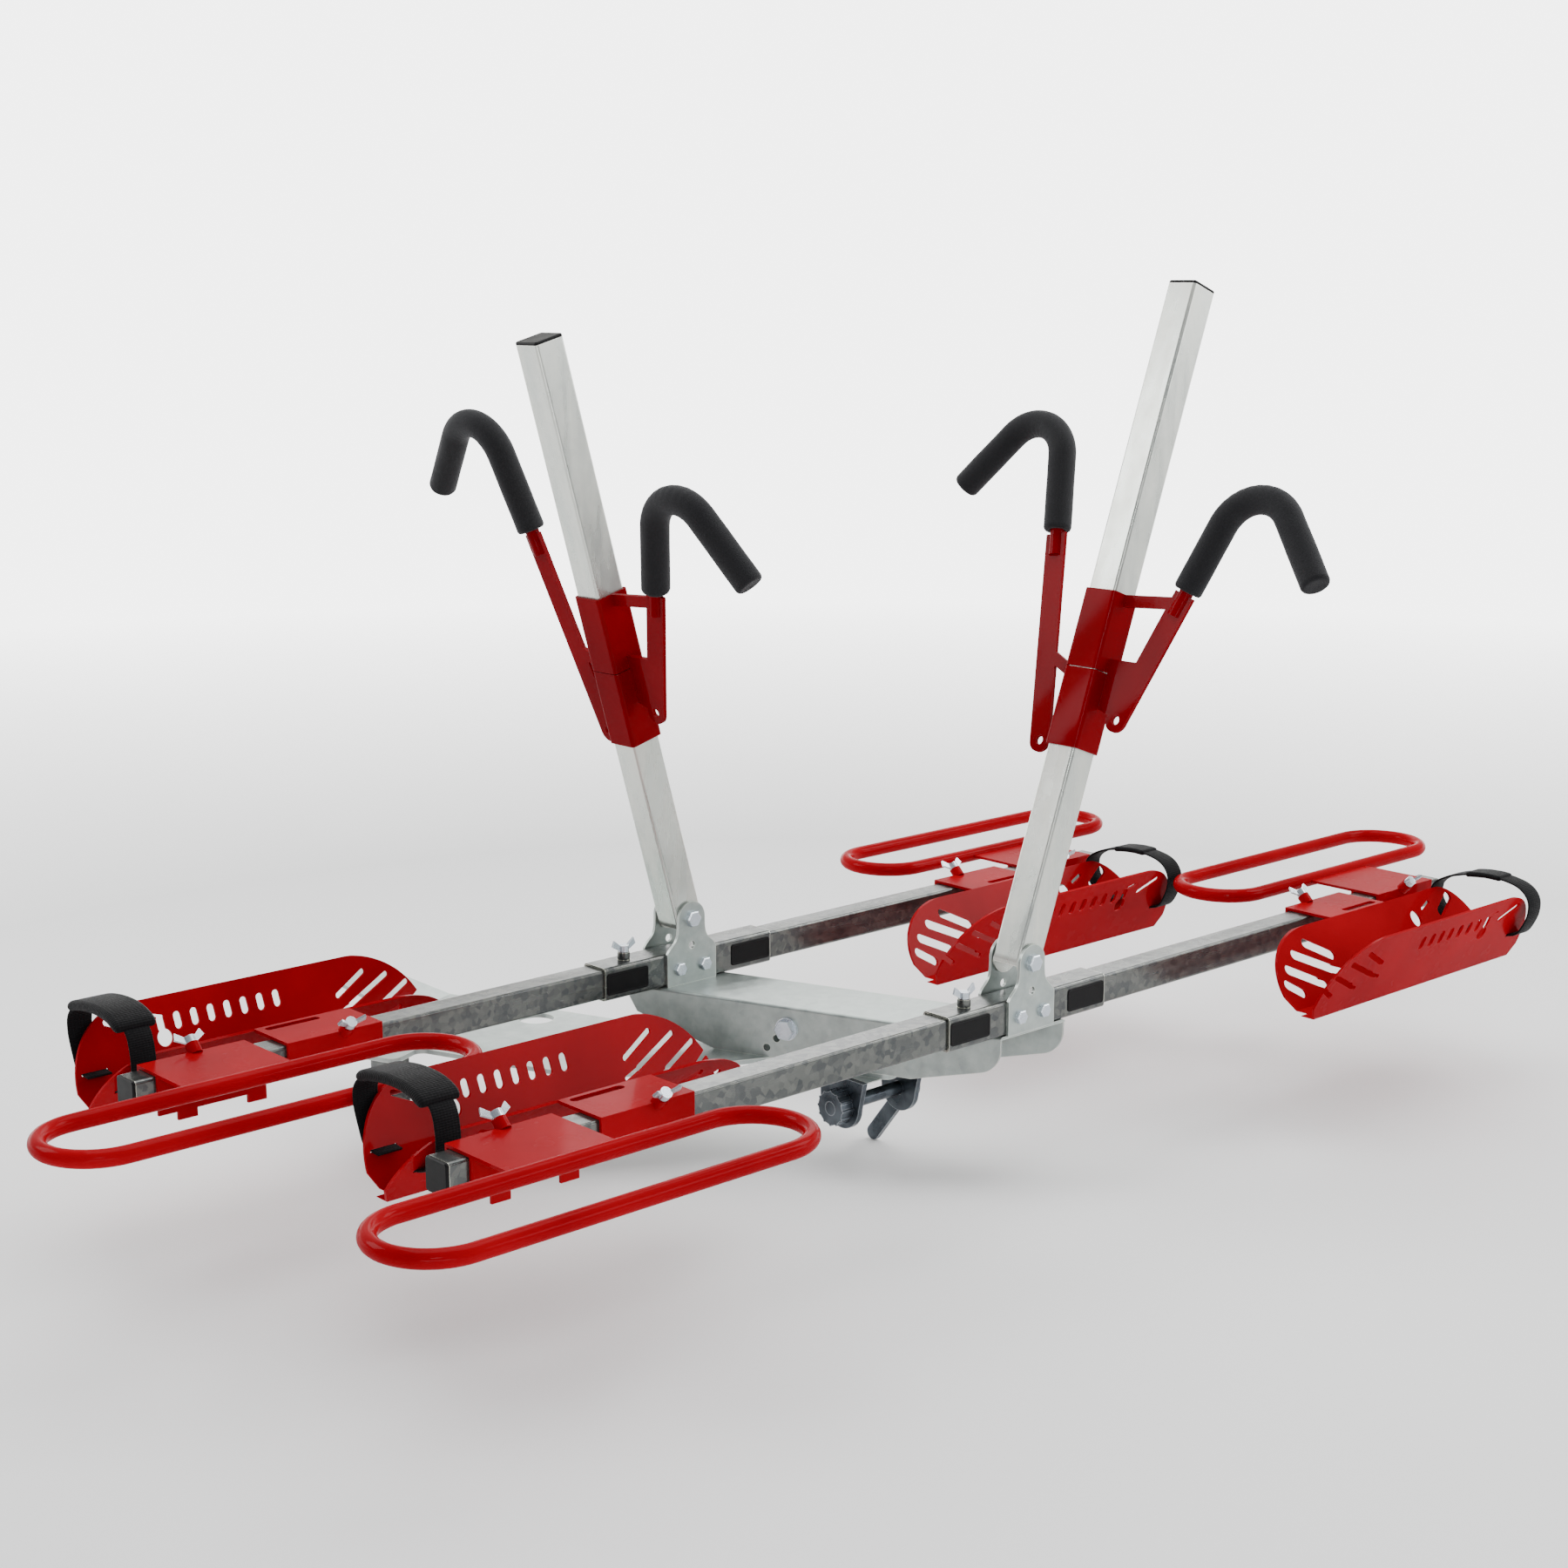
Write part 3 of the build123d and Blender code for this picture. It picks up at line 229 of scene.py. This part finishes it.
def floor_coat():
    """Pale and plain near the rack; far off it glows with the colour of the room, painted light in place of
    a lit floor.
    """
    material, surface = new_material("floor_coat", (0.86, 0.86, 0.86), 0.7)
    surface.inputs["Specular IOR Level"].default_value = 0.2
    vector = place_on_object(material)
    cloud = noise_at(material, vector, scale=2.0, detail=3.0)
    join(material, mix(material, cloud, (0.9, 0.9, 0.9), (0.93, 0.93, 0.93)), surface.inputs["Base Color"])
    outward = add_node(material, "VectorMath", {"operation": "NORMALIZE"})
    join(material, vector, outward.inputs[0])
    distance = add_node(material, "VectorMath", {"operation": "LENGTH"})
    join(material, vector, distance.inputs[0])
    # The far floor's glow: painted light, an emission of the room's colour.
    glow = add_node(material, "Emission")
    join(material, room_glow(material, outward.outputs["Vector"]), glow.inputs["Color"])
    both = add_node(material, "MixShader")
    share = spread(material, distance.outputs["Value"], 0.0, 1.0, FLOOR_NEAR, FLOOR_FAR)
    join(material, share, both.inputs[0])
    join(material, surface.outputs[0], both.inputs[1])
    join(material, glow.outputs[0], both.inputs[2])
    join(material, both.outputs[0], material.node_tree.nodes["Material Output"].inputs["Surface"])
    return material


def make_floor():
    """One flat face just under the lowest point."""
    reach = FLOOR_REACH
    mesh = bpy.data.meshes.new("floor")
    corners = [(-reach, -reach, 0), (reach, -reach, 0), (reach, reach, 0), (-reach, reach, 0)]
    mesh.from_pydata(corners, [], [(0, 1, 2, 3)])
    mesh.materials.append(floor_coat())
    floor = bpy.data.objects.new("floor", mesh)
    bpy.context.scene.collection.objects.link(floor)
    floor.location.z = cad_low.z - FLOOR_GAP


# Metal and paint
def zinc(name, pale, deep, edge, roughness, grain=(1, 1, 1)):
    """Zinc coat: faint spangle and drawn streaks, edges made bright in part as rubbed wear and in part as a
    painted highlight. A low grain stretches an axis.
    """
    material, surface = new_material(name, pale, roughness, metallic=0.8)
    vector = place_on_object(material)
    drawn = place_on_object(material, grain)
    spangle = add_node(material, "TexVoronoi", Scale=160.0)
    join(material, vector, spangle.inputs["Vector"])
    streaks = noise_at(material, drawn, scale=60.0, detail=4.0)
    cloud = noise_at(material, vector, scale=14.0, detail=3.0)
    patch = mix(material, spread(material, streaks, 0.0, 1.0), deep, pale)
    patch = mix(material, spread(material, cloud, 0.0, 0.25), patch, deep)
    separate = add_node(material, "SeparateColor")
    join(material, spangle.outputs["Color"], separate.inputs["Color"])
    patch = mix(material, spread(material, separate.outputs["Red"], 0.0, 0.08, 0, 1), patch, edge)
    # Edges go over to the edge colour: part rubbed wear, part painted highlight.
    patch = edge_wear_and_highlight(material, patch, edge, radius=0.0016, most=0.8)
    join(material, patch, surface.inputs["Base Color"])
    rough = spread(material, streaks, roughness - 0.06, roughness + 0.1)
    join(material, rough, surface.inputs["Roughness"])
    relief = noise_at(material, drawn, scale=420.0, detail=2.0)
    bump(material, surface, relief, strength=0.07, distance=0.0003)
    return material


def paint(name, bright, deep, roughness):
    """Powder coat: fine orange peel, a low gloss, and edges a little brighter as a painted highlight."""
    material, surface = new_material(name, bright, roughness, Coat_Weight=0.08, Coat_Roughness=0.07)
    surface.inputs["Specular IOR Level"].default_value = 0.005
    surface.inputs["Specular Tint"].default_value = (1.0, 0.12, 0.1, 1)
    vector = place_on_object(material)
    cloud = noise_at(material, vector, scale=9.0, detail=4.0)
    base = mix(material, spread(material, cloud, 0.0, 1.0), deep, bright)
    # A brighter red along the edges: a painted highlight, not wear.
    rim = tuple(min(1.0, value * 1.3 + 0.004) for value in bright)
    base = edge_wear_and_highlight(material, base, rim, radius=0.0014, most=0.55)
    join(material, base, surface.inputs["Base Color"])
    speckle = noise_at(material, vector, scale=34.0, detail=3.0)
    rough = spread(material, speckle, roughness - 0.04, roughness + 0.06)
    join(material, rough, surface.inputs["Roughness"])
    peel = noise_at(material, vector, scale=700.0, detail=2.0)
    bump(material, surface, peel, strength=0.03, distance=0.0003)
    return material


def oiled_steel(name):
    """Dark steel of the clamp, stained, with bare edges."""
    material, surface = new_material(name, (0.16, 0.18, 0.2), 0.3, metallic=0.9)
    vector = place_on_object(material)
    stain = noise_at(material, vector, scale=35.0, detail=5.0)
    base = mix(material, spread(material, stain, 0.0, 1.0), (0.03, 0.036, 0.045), (0.13, 0.15, 0.17))
    base = edge_wear_and_highlight(material, base, (0.5, 0.53, 0.56), radius=0.0016, most=0.7)
    join(material, base, surface.inputs["Base Color"])
    join(material, spread(material, stain, 0.22, 0.42), surface.inputs["Roughness"])
    pits = noise_at(material, vector, scale=300.0, detail=3.0)
    bump(material, surface, pits, strength=0.15, distance=0.0005)
    return material


# Plastic, foam and webbing
SOFT_BLACK = (0.012, 0.012, 0.013)


def moulded_black(name):
    """Finely grained black plastic."""
    black = (0.006, 0.006, 0.0065)
    material, surface = new_material(name, black, 0.45)
    surface.inputs["Specular IOR Level"].default_value = 0.12
    vector = place_on_object(material)
    cloud = noise_at(material, vector, scale=30.0, detail=3.0)
    base = mix(material, spread(material, cloud, 0.0, 1.0), (0.002, 0.002, 0.0025), black)
    base = edge_wear_and_highlight(material, base, (0.02, 0.02, 0.021), radius=0.001, most=0.5)
    join(material, base, surface.inputs["Base Color"])
    join(material, spread(material, cloud, 0.38, 0.56), surface.inputs["Roughness"])
    grain = noise_at(material, vector, scale=900.0, detail=2.0)
    bump(material, surface, grain, strength=0.25, distance=0.0003)
    return material


def closed_cell_foam(name):
    """Skinned black foam: fine cells, a dull sheen and faint handling marks."""
    material, surface = new_material(name, SOFT_BLACK, 0.8, Sheen_Weight=0.1, Sheen_Roughness=0.5)
    surface.inputs["Sheen Tint"].default_value = (0.6, 0.62, 0.66, 1)
    surface.inputs["Specular IOR Level"].default_value = 0.2
    vector = place_on_object(material)
    voronoi = add_node(material, "TexVoronoi", Scale=900.0)
    join(material, vector, voronoi.inputs["Vector"])
    cells = voronoi.outputs["Distance"]
    cloud = noise_at(material, vector, scale=22.0, detail=5.0, roughness=0.6)
    base = mix(material, spread(material, cloud, 0.0, 1.0), (0.004, 0.004, 0.005), (0.01, 0.01, 0.011))
    # Darker in the cells' pits and lighter on their raised rims: painted shade.
    base = mix(material, spread(material, cells, 0.0, 0.5, 0.0, 0.8), base, (0.016, 0.016, 0.018))
    join(material, base, surface.inputs["Base Color"])
    join(material, spread(material, cloud, 0.68, 0.9), surface.inputs["Roughness"])
    low = bump(material, surface, cells, strength=0.3, distance=0.0006)
    dents = noise_at(material, vector, scale=45.0, detail=4.0)
    bump(material, surface, dents, strength=0.2, distance=0.002, below=low)
    return material


WEFT_PITCH = 0.0021
WARP_PITCH = 0.0031
WARP_SHARE = 0.45


def thread_wave(material, along, pitch):
    """A sine of the given pitch, in metres."""
    phase = add_node(material, "Math", {"operation": "MULTIPLY"})
    phase.inputs[1].default_value = 2 * pi / pitch
    join(material, along, phase.inputs[0])
    wave = add_node(material, "Math", {"operation": "SINE"})
    join(material, phase.outputs[0], wave.inputs[0])
    return wave.outputs[0]


def woven(name):
    """Webbing: u runs along the strap and v across it, both in metres."""
    material, surface = new_material(name, SOFT_BLACK, 0.7, Sheen_Weight=0.02, Sheen_Roughness=0.4)
    surface.inputs["Specular IOR Level"].default_value = 0.12
    coordinates = add_node(material, "UVMap")
    split = add_node(material, "SeparateXYZ")
    join(material, coordinates.outputs["UV"], split.inputs["Vector"])
    weave = add_node(material, "Math", {"operation": "MULTIPLY_ADD"})
    weave.inputs[1].default_value = WARP_SHARE
    join(material, thread_wave(material, split.outputs["Y"], WARP_PITCH), weave.inputs[0])
    join(material, thread_wave(material, split.outputs["X"], WEFT_PITCH), weave.inputs[2])
    height = spread(material, weave.outputs[0], 0.0, 1.0, -1 - WARP_SHARE, 1 + WARP_SHARE)
    fibre = noise_at(material, place_on_object(material), scale=700.0, detail=3.0)
    # Darker where the weave lies low: painted shade in the hollows between threads.
    base = mix(material, height, (0.0015, 0.0015, 0.002), (0.006, 0.006, 0.007))
    base = mix(material, spread(material, fibre, 0.0, 0.4), base, (0.003, 0.003, 0.0035))
    join(material, base, surface.inputs["Base Color"])
    join(material, spread(material, fibre, 0.6, 0.82), surface.inputs["Roughness"])
    low = bump(material, surface, height, strength=0.7, distance=0.0006)
    bump(material, surface, fibre, strength=0.2, distance=0.0004, below=low)
    return material


# Finishes by what a slot's name ends with: dark red stands before red, which its name ends with too
finishes = {
    "zinc_sheet": zinc(
        "zinc_sheet_coat",
        pale=(0.42, 0.47, 0.45),
        deep=(0.28, 0.32, 0.31),
        edge=(0.85, 0.88, 0.8),
        roughness=0.34,
    ),
    # The tubes' zinc is set far darker than the masts' so their sides read dark: painted shade.
    "zinc_tube": zinc(
        "shaded_zinc_tube_coat",
        pale=(0.085, 0.09, 0.092),
        deep=(0.055, 0.06, 0.062),
        edge=(0.9, 0.9, 0.76),
        roughness=0.22,
        grain=(0.12, 1, 1),
    ),
    "zinc_bolt": zinc(
        "zinc_bolt_coat",
        pale=(0.6, 0.65, 0.7),
        deep=(0.42, 0.47, 0.53),
        edge=(0.9, 0.93, 0.97),
        roughness=0.24,
    ),
    "dark_steel": oiled_steel("oiled_steel_skin"),
    "dark_red_paint": paint("dark_red_coat", (0.22, 0.0002, 0.004), (0.15, 0.0001, 0.003), 0.24),
    "red_paint": paint("red_coat", (0.33, 0.0004, 0.006), (0.23, 0.0003, 0.004), 0.24),
    "black_plastic": moulded_black("moulded_black"),
    "foam": closed_cell_foam("closed_cell_foam"),
    "webbing": woven("woven_webbing"),
}
# A brighter copy of the tubes' zinc for the masts: painted light.
lit_mast_finish = zinc(
    "mast_coat",
    pale=(0.66, 0.67, 0.61),
    deep=(0.5, 0.53, 0.5),
    edge=(0.97, 0.97, 0.9),
    roughness=0.27,
    grain=(1, 1, 0.15),
)


def dress_frame():
    """Gives each CAD node the finish that its slot names; the masts' coat is a brighter copy of the tube
    zinc, painted light.
    """
    for name, node in nodes.items():
        for slot in node.material_slots:
            slot_name = slot.material.name.split(".")[0]
            finish = next(key for key in finishes if slot_name.endswith(key))
            slot.material = lit_mast_finish if name.endswith("_mast") else finishes[finish]


# Mesh helpers
def face_outwards(points, faces):
    """The faces, all turned round where they enclose a negative volume."""
    volume = 0.0
    for face in faces:
        first = points[face[0]]
        for b, c in zip(face[1:], face[2:]):
            volume += first.dot(points[b].cross(points[c]))
    if volume < 0:
        return [face[::-1] for face in faces]
    return faces


def piece(name, points, faces, slot, body, smooth=True, uv=None):
    """A mesh piece that rides on a body; uv gives each point's place in the weave."""
    mesh = bpy.data.meshes.new(name)
    mesh.from_pydata([tuple(p) for p in points], [], face_outwards(points, faces))
    mesh.materials.append(finishes[slot])
    for polygon in mesh.polygons:
        polygon.use_smooth = smooth
    if uv is not None:
        layer = mesh.uv_layers.new(name="weave")
        for loop in mesh.loops:
            layer.data[loop.index].uv = uv[loop.vertex_index]
    made = bpy.data.objects.new(name, mesh)
    bpy.context.scene.collection.objects.link(made)
    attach(made, body)
    return made


def loft(rings, closed_start=True):
    """Points and faces over rings of equal size, with one face across each closed end."""
    count = len(rings[0])
    points = [p for ring in rings for p in ring]
    faces = []
    for r in range(len(rings) - 1):
        for k in range(count):
            a = r * count + k
            b = r * count + (k + 1) % count
            faces.append((a, b, b + count, a + count))
    if closed_start:
        faces.append(tuple(range(count))[::-1])
    faces.append(tuple((len(rings) - 1) * count + k for k in range(count)))
    return points, faces


def rounded_rectangle(half_width, half_height, radius, count):
    """Points round an outline whose corner arcs are centred at the half sizes: (across, up)."""
    outline = []
    for across, up, start in ((1, 1, 0), (-1, 1, 90), (-1, -1, 180), (1, -1, 270)):
        for k in range(count):
            angle = radians(start + 90 * k / (count - 1))
            a = across * half_width + radius * cos(angle)
            b = up * half_height + radius * sin(angle)
            outline.append((a, b))
    return outline


# Masts: a point is given out from the mast's axis along Y and along it from its pivot
ROW_X = {"front": 68.5, "back": -68.5}
ROW_Y = {"front": -131.5, "back": 221.5}
PIVOT_Z = 131.0
MAST_LEAN = {"front": 20.3, "back": -15.7}


def on_mast(row, out, along, across):
    """Point beside a mast in metres: out along Y, along the mast, and across it."""
    lean = radians(MAST_LEAN[row])
    x = ROW_X[row] + along * sin(lean) + across * cos(lean)
    z = PIVOT_Z + along * cos(lean) - across * sin(lean)
    return Vector((x, ROW_Y[row] + out, z)) * MM


# Foam sleeves on the hook rods
LOWER_START = {"front": 213.0, "back": 203.0}
# The mast's side, then start, corner and end of the centre line: (out, above the lower carrier's foot)
FOAM_LINES = {
    "lower": (1, [(91, 217), (130, 375), (233, 254)]),
    "upper": (-1, [(90, 169), (136, 311), (234, 188)]),
}
FOAM_RADIUS = 14.5
FOAM_BORE = 7.6
FOAM_BEND = 42.0
FOAM_SIDES = 32
FOAM_STEP = 1.5
# Drawn in by a skin's depth, uneven by the swell, and gathered in folds inside the bend
FOAM_SKIN = 0.25
FOAM_SWELL = 0.22
SWELL_ALONG = 0.045
SWELL_ROUND = 1.4
FOLD_DEPTH = 0.14
FOLD_PITCH = 7.5
# Each end is rounded over a lip in place of its last steps: (share of the lip drawn in, share of its depth)
FOAM_LIP = 3.2
LIP_STEPS = 3
LIP_PROFILE = ((0.0, 1.0), (0.3, 0.35), (0.62, 0.09), (1.0, 0.0))
# Then (share of the radius, depth): the far end is closed and the near one turns into its bore
CLOSED_END = ((0.66, -0.05), (0.34, 0.2), (0.1, 0.35))
BORED_END = ((0.66, -0.05), (FOAM_BORE / FOAM_RADIUS + 0.05, 0.0), (FOAM_BORE / FOAM_RADIUS, 1.2))


def rounded_corner(start, corner, end, radius, step):
    """Points every step along two runs joined by an arc, with how far each is into the bend."""
    start, corner, end = Vector(start), Vector(corner), Vector(end)
    first = (start - corner).normalized()
    second = (end - corner).normalized()
    half = first.angle(second) / 2
    reach = radius / tan(half)
    centre = corner + (first + second).normalized() * (radius / sin(half))
    leave = corner + first * reach
    enter = corner + second * reach
    count = max(2, int((leave - start).length / step))
    line = [(start.lerp(leave, i / count), 0.0) for i in range(count)]
    turn = pi - 2 * half
    count = max(6, int(radius * turn / step))
    a = leave - centre
    b = enter - centre
    for i in range(count):
        t = i / count
        mixed = a * (sin((1 - t) * turn) / sin(turn)) + b * (sin(t * turn) / sin(turn))
        line.append((centre + mixed, sin(pi * t)))
    count = max(2, int((end - enter).length / step))
    line += [(enter.lerp(end, i / count), 0.0) for i in range(count + 1)]
    return line


def foam_radius(i, angle, bend, out, seed):
    """Radius at a step of the line and an angle round it."""
    spot = Vector((i * SWELL_ALONG, SWELL_ROUND * cos(angle), SWELL_ROUND * sin(angle) + seed))
    swell = FOAM_SWELL * noise.noise(spot)
    inner = max(0.0, -out * cos(angle)) * bend
    swell -= inner * FOLD_DEPTH * (1 + sin(i * FOAM_STEP * 2 * pi / FOLD_PITCH))
    return FOAM_RADIUS - FOAM_SKIN + swell


def foam_end(ring, centre, heading, profile):
    """Rings that round an end over a lip and follow its profile; heading points out of the sleeve."""
    lip = [(1 - share * FOAM_LIP / FOAM_RADIUS, depth * FOAM_LIP) for share, depth in LIP_PROFILE]
    rings = []
    for factor, depth in (*lip, *profile):
        rings.append([(centre + (p - centre) * factor - heading * depth, a * factor) for p, a in ring])
    return rings


def make_foam(row, level):
    """Thick-walled sleeve with soft rounded ends, gathered a little inside its bend."""
    out, spots = FOAM_LINES[level]
    corners = [(reach, LOWER_START[row] + along) for reach, along in spots]
    line = rounded_corner(*corners, FOAM_BEND, FOAM_STEP)
    seed = 7.0 * ROWS.index(row) + 3.0 * out
    total = len(line) - 1
    headings = []
    rings = []
    for i, (point, bend) in enumerate(line):
        heading = (line[min(i + 1, total)][0] - line[max(i - 1, 0)][0]).normalized()
        side = Vector((-heading.y, heading.x))
        ring = []
        for k in range(FOAM_SIDES):
            angle = 2 * pi * k / FOAM_SIDES
            radius = foam_radius(i, angle, bend, out, seed)
            ring.append((point + side * (radius * cos(angle)), radius * sin(angle)))
        headings.append(heading)
        rings.append(ring)
    start = foam_end(rings[0], line[0][0], -headings[0], BORED_END)
    end = foam_end(rings[total], line[total][0], headings[total], CLOSED_END)
    rings = start[::-1] + rings[LIP_STEPS:total - LIP_STEPS + 1] + end
    placed = [[on_mast(row, out * p.x, p.y, a) for p, a in ring] for ring in rings]
    points, faces = loft(placed, closed_start=False)
    made = piece(row + "_" + level + "_foam_sleeve", points, faces, "foam", row + "_" + level + "_hook")
    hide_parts(row + "_" + level + "_foam")


# Trays and rail ends: x runs outwards from a rail's end, y towards its loop, z up from its underside
RAIL_END = {"front_left": -618.5, "front_right": 789.5, "back_left": -705.5, "back_right": 591.5}
RAIL_UNDERSIDE = 64.5
SIDE = {"left": -1, "right": 1}


def on_rail_end(corner, x, y, z):
    """Point beside a rail's end in metres; a left end is a right one given half a turn."""
    row, side = corner.split("_")
    s = SIDE[side]
    return Vector((RAIL_END[corner] + s * x, ROW_Y[row] + s * y, RAIL_UNDERSIDE + z)) * MM


# Straps: centre lines over each tray, (towards the loop, up), ends turned in through the wall slots
STRAP_MIDDLE = -38.0
STRAP_WIDTH = 25.0
STRAP_THICK = 2.2
STRAP_DRIFT = 1.6
STRAP_LINES = {
    "left": [
        (-84, -6.5), (-73, -6), (-59, -3), (-46, 4), (-37, 18), (-37, 37), (-43, 54), (-58, 64), (-81, 68),
        (-110, 67), (-139, 61), (-157, 48), (-160, 31), (-153, 10), (-146, -3), (-134, -6), (-123, -6.5),
    ],
    "right": [
        (-84, -6.5), (-73, -6), (-59, -3), (-46, 5), (-37, 18), (-38, 35), (-54, 47), (-80, 55), (-108, 58),
        (-133, 56), (-151, 50), (-161, 38), (-161, 22), (-154, 6), (-146, -3), (-134, -6), (-123, -6.5),
    ],
}
LINE_STEP = 1.6
SPLINE_PARTS = 16
# Padded sleeve on each strap: where it starts and ends along the line, its width and thickness
STRAP_PADS = {"left": (0.34, 0.68, 42.0, 10.0), "right": (0.44, 0.6, 28.0, 6.0)}
# Share of a pad's length over which an end is drawn in, how much narrower it gets there, and how thin
PAD_END = 0.09
PAD_NARROWING = 0.14
PAD_SKIN = 0.5
PAD_PUFF = 0.08


def smooth_line(points, step):
    """Even steps along a Catmull-Rom curve through the points."""
    spots = [Vector(p) for p in points]
    dense = []
    for i in range(len(spots) - 1):
        before = spots[max(i - 1, 0)]
        a = spots[i]
        b = spots[i + 1]
        after = spots[min(i + 2, len(spots) - 1)]
        for k in range(SPLINE_PARTS):
            t = k / SPLINE_PARTS
            pull = (b - before) * t + (2 * before - 5 * a + 4 * b - after) * t ** 2
            pull += (3 * a - before - 3 * b + after) * t ** 3
            dense.append(a + pull / 2)
    dense.append(spots[-1])
    even = [dense[0]]
    left = step
    for a, b in zip(dense, dense[1:]):
        span = (b - a).length
        done = 0.0
        while span - done >= left:
            done += left
            even.append(a.lerp(b, done / span))
            left = step
        left -= span - done
    return even


def band_section(width, thick, round_share, count):
    """Points round a flat section with soft edges: (across, through)."""
    radius = thick / 2 * round_share
    return rounded_rectangle(width / 2 - radius, thick / 2 - radius, radius, count)


def sweep_band(name, corner, line, section_at, drift):
    """Sweeps a section along a strap's line and keeps the weave's coordinates in metres."""
    rings = []
    uv = []
    total = len(line) - 1
    for i, point in enumerate(line):
        heading = (line[min(i + 1, total)] - line[max(i - 1, 0)]).normalized()
        normal = Vector((-heading.y, heading.x))
        ring = []
        for a, b in section_at(i / total):
            place = point + normal * b
            ring.append(on_rail_end(corner, STRAP_MIDDLE + a + drift(i / total), place.x, place.y))
            uv.append((i * LINE_STEP * MM, a * MM))
        rings.append(ring)
    points, faces = loft(rings)
    return piece(name, points, faces, "webbing", corner + "_tray", uv=uv)


def make_strap(corner):
    """The band over the tray and the padded sleeve on its upper run."""
    side = corner.split("_")[1]
    seed = CORNERS.index(corner)
    line = smooth_line(STRAP_LINES[side], LINE_STEP)
    total = len(line) - 1
    plain = band_section(STRAP_WIDTH, STRAP_THICK, round_share=0.9, count=3)

    def drift(t):
        return STRAP_DRIFT * sin(pi * t) * noise.noise(Vector((3.0 * t, seed * 1.7, 0)))

    band = sweep_band(corner + "_strap_band", corner, line, lambda t: plain, drift)
    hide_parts(corner + "_strap")

    start, end, width, thick = STRAP_PADS[side]

    def pad_section(t):
        near = min(t, 1 - t) / PAD_END
        full = 1.0 if near >= 1 else (1 - (1 - near) ** 2) ** 0.5
        puff = 1 + PAD_PUFF * noise.noise(Vector((6.0 * t, seed, 2.0)))
        depth = STRAP_THICK + PAD_SKIN + (thick - STRAP_THICK - PAD_SKIN) * full * puff
        breadth = width * (1 - PAD_NARROWING + PAD_NARROWING * full)
        return band_section(breadth, depth, round_share=0.95, count=6)

    def pad_drift(t):
        return drift((start * total + t * (end - start) * total) / total)

    run = line[int(start * total):int(end * total) + 1]
    pad = sweep_band(corner + "_strap_pad", corner, run, pad_section, pad_drift)


# Badge plates on the sleeves, left bare: each sits near a sleeve's end, on the side away from the vehicle
SLEEVE_ENDS = {"front": (-44.5, 181.5), "back": (-181.5, 44.5)}
SLEEVE_HALF = 17.5
SLEEVE_UNDERSIDE = RAIL_UNDERSIDE - 2.5
BADGE_WIDTH = 54.0
BADGE_HEIGHT = 23.0
BADGE_CORNER = 3.0
BADGE_INSET = 2.0
# Rings of the plate as (how far in from its outline, how far out from the sleeve)
BADGE_RINGS = ((0.0, 0.0), (0.0, 0.7), (0.3, 1.0), (1.6, 1.0), (1.9, 0.75))


def make_badge(row, end):
    """Plain rounded plate with a softened rim."""
    low_x, high_x = SLEEVE_ENDS[row]
    from_end = BADGE_INSET + BADGE_WIDTH / 2
    middle = low_x + from_end if end == "left" else high_x - from_end
    face = ROW_Y[row] - SLEEVE_HALF
    middle_z = SLEEVE_UNDERSIDE + SLEEVE_HALF
    half_width = BADGE_WIDTH / 2 - BADGE_CORNER
    half_height = BADGE_HEIGHT / 2 - BADGE_CORNER
    rings = []
    for inset, out in BADGE_RINGS:
        outline = rounded_rectangle(half_width, half_height, BADGE_CORNER - inset, count=6)
        rings.append([Vector((middle + x, face - out, middle_z + z)) * MM for x, z in outline])
    points, faces = loft(rings)
    piece(row + "_sleeve_badge_" + end, points, faces, "black_plastic", "base", smooth=False)


# Wheel loops: a coated rod over each solid's thinner one, as thick as the photograph's
LOOP_OFFSET = 131.0
LOOP_LENGTH = 410.0
LOOP_WIDTH = 100.0
LOOP_INSET = 66.0
LOOP_MID_Z = 32.0
COATED_ROD = 15.6
ROD_SIDES = 20
ROD_STEPS = 180


def loop_spot(t):
    """A point on a loop's centre line and its heading there, with t from 0 to 1 round it."""
    straight = LOOP_LENGTH - LOOP_WIDTH
    half = LOOP_WIDTH / 2
    arc = pi * half
    run = t * 2 * (straight + arc)
    far = straight / 2
    if run < straight:
        return (-far + run, -half), (1, 0)
    run -= straight
    if run < arc:
        turn = run / half - pi / 2
        return (far + half * cos(turn), half * sin(turn)), (-sin(turn), cos(turn))
    run -= arc
    if run < straight:
        return (far - run, half), (-1, 0)
    turn = (run - straight) / half + pi / 2
    return (-far + half * cos(turn), half * sin(turn)), (-sin(turn), cos(turn))


def make_loop_rod(corner):
    """Closed ring of rod round a wheel."""
    points = []
    faces = []
    count = ROD_STEPS * ROD_SIDES
    for i in range(ROD_STEPS):
        (x, y), (hx, hy) = loop_spot(i / ROD_STEPS)
        for k in range(ROD_SIDES):
            angle = 2 * pi * k / ROD_SIDES
            reach = COATED_ROD / 2 * cos(angle)
            rise = COATED_ROD / 2 * sin(angle)
            outward = x - LOOP_INSET + hy * reach
            sideways = LOOP_OFFSET + y - hx * reach
            points.append(on_rail_end(corner, outward, sideways, LOOP_MID_Z + rise))
            a = i * ROD_SIDES + k
            b = i * ROD_SIDES + (k + 1) % ROD_SIDES
            faces.append((a, (a + ROD_SIDES) % count, (b + ROD_SIDES) % count, b))
    piece(corner + "_loop_rod", points, faces, "red_paint", corner + "_loop")


make_camera()
make_lights()
make_room()
dress_frame()
for row in ROWS:
    for level in FOAM_LINES:
        make_foam(row, level)
    for end in SIDE:
        make_badge(row, end)
for corner in CORNERS:
    make_strap(corner)
    make_loop_rod(corner)
make_floor()
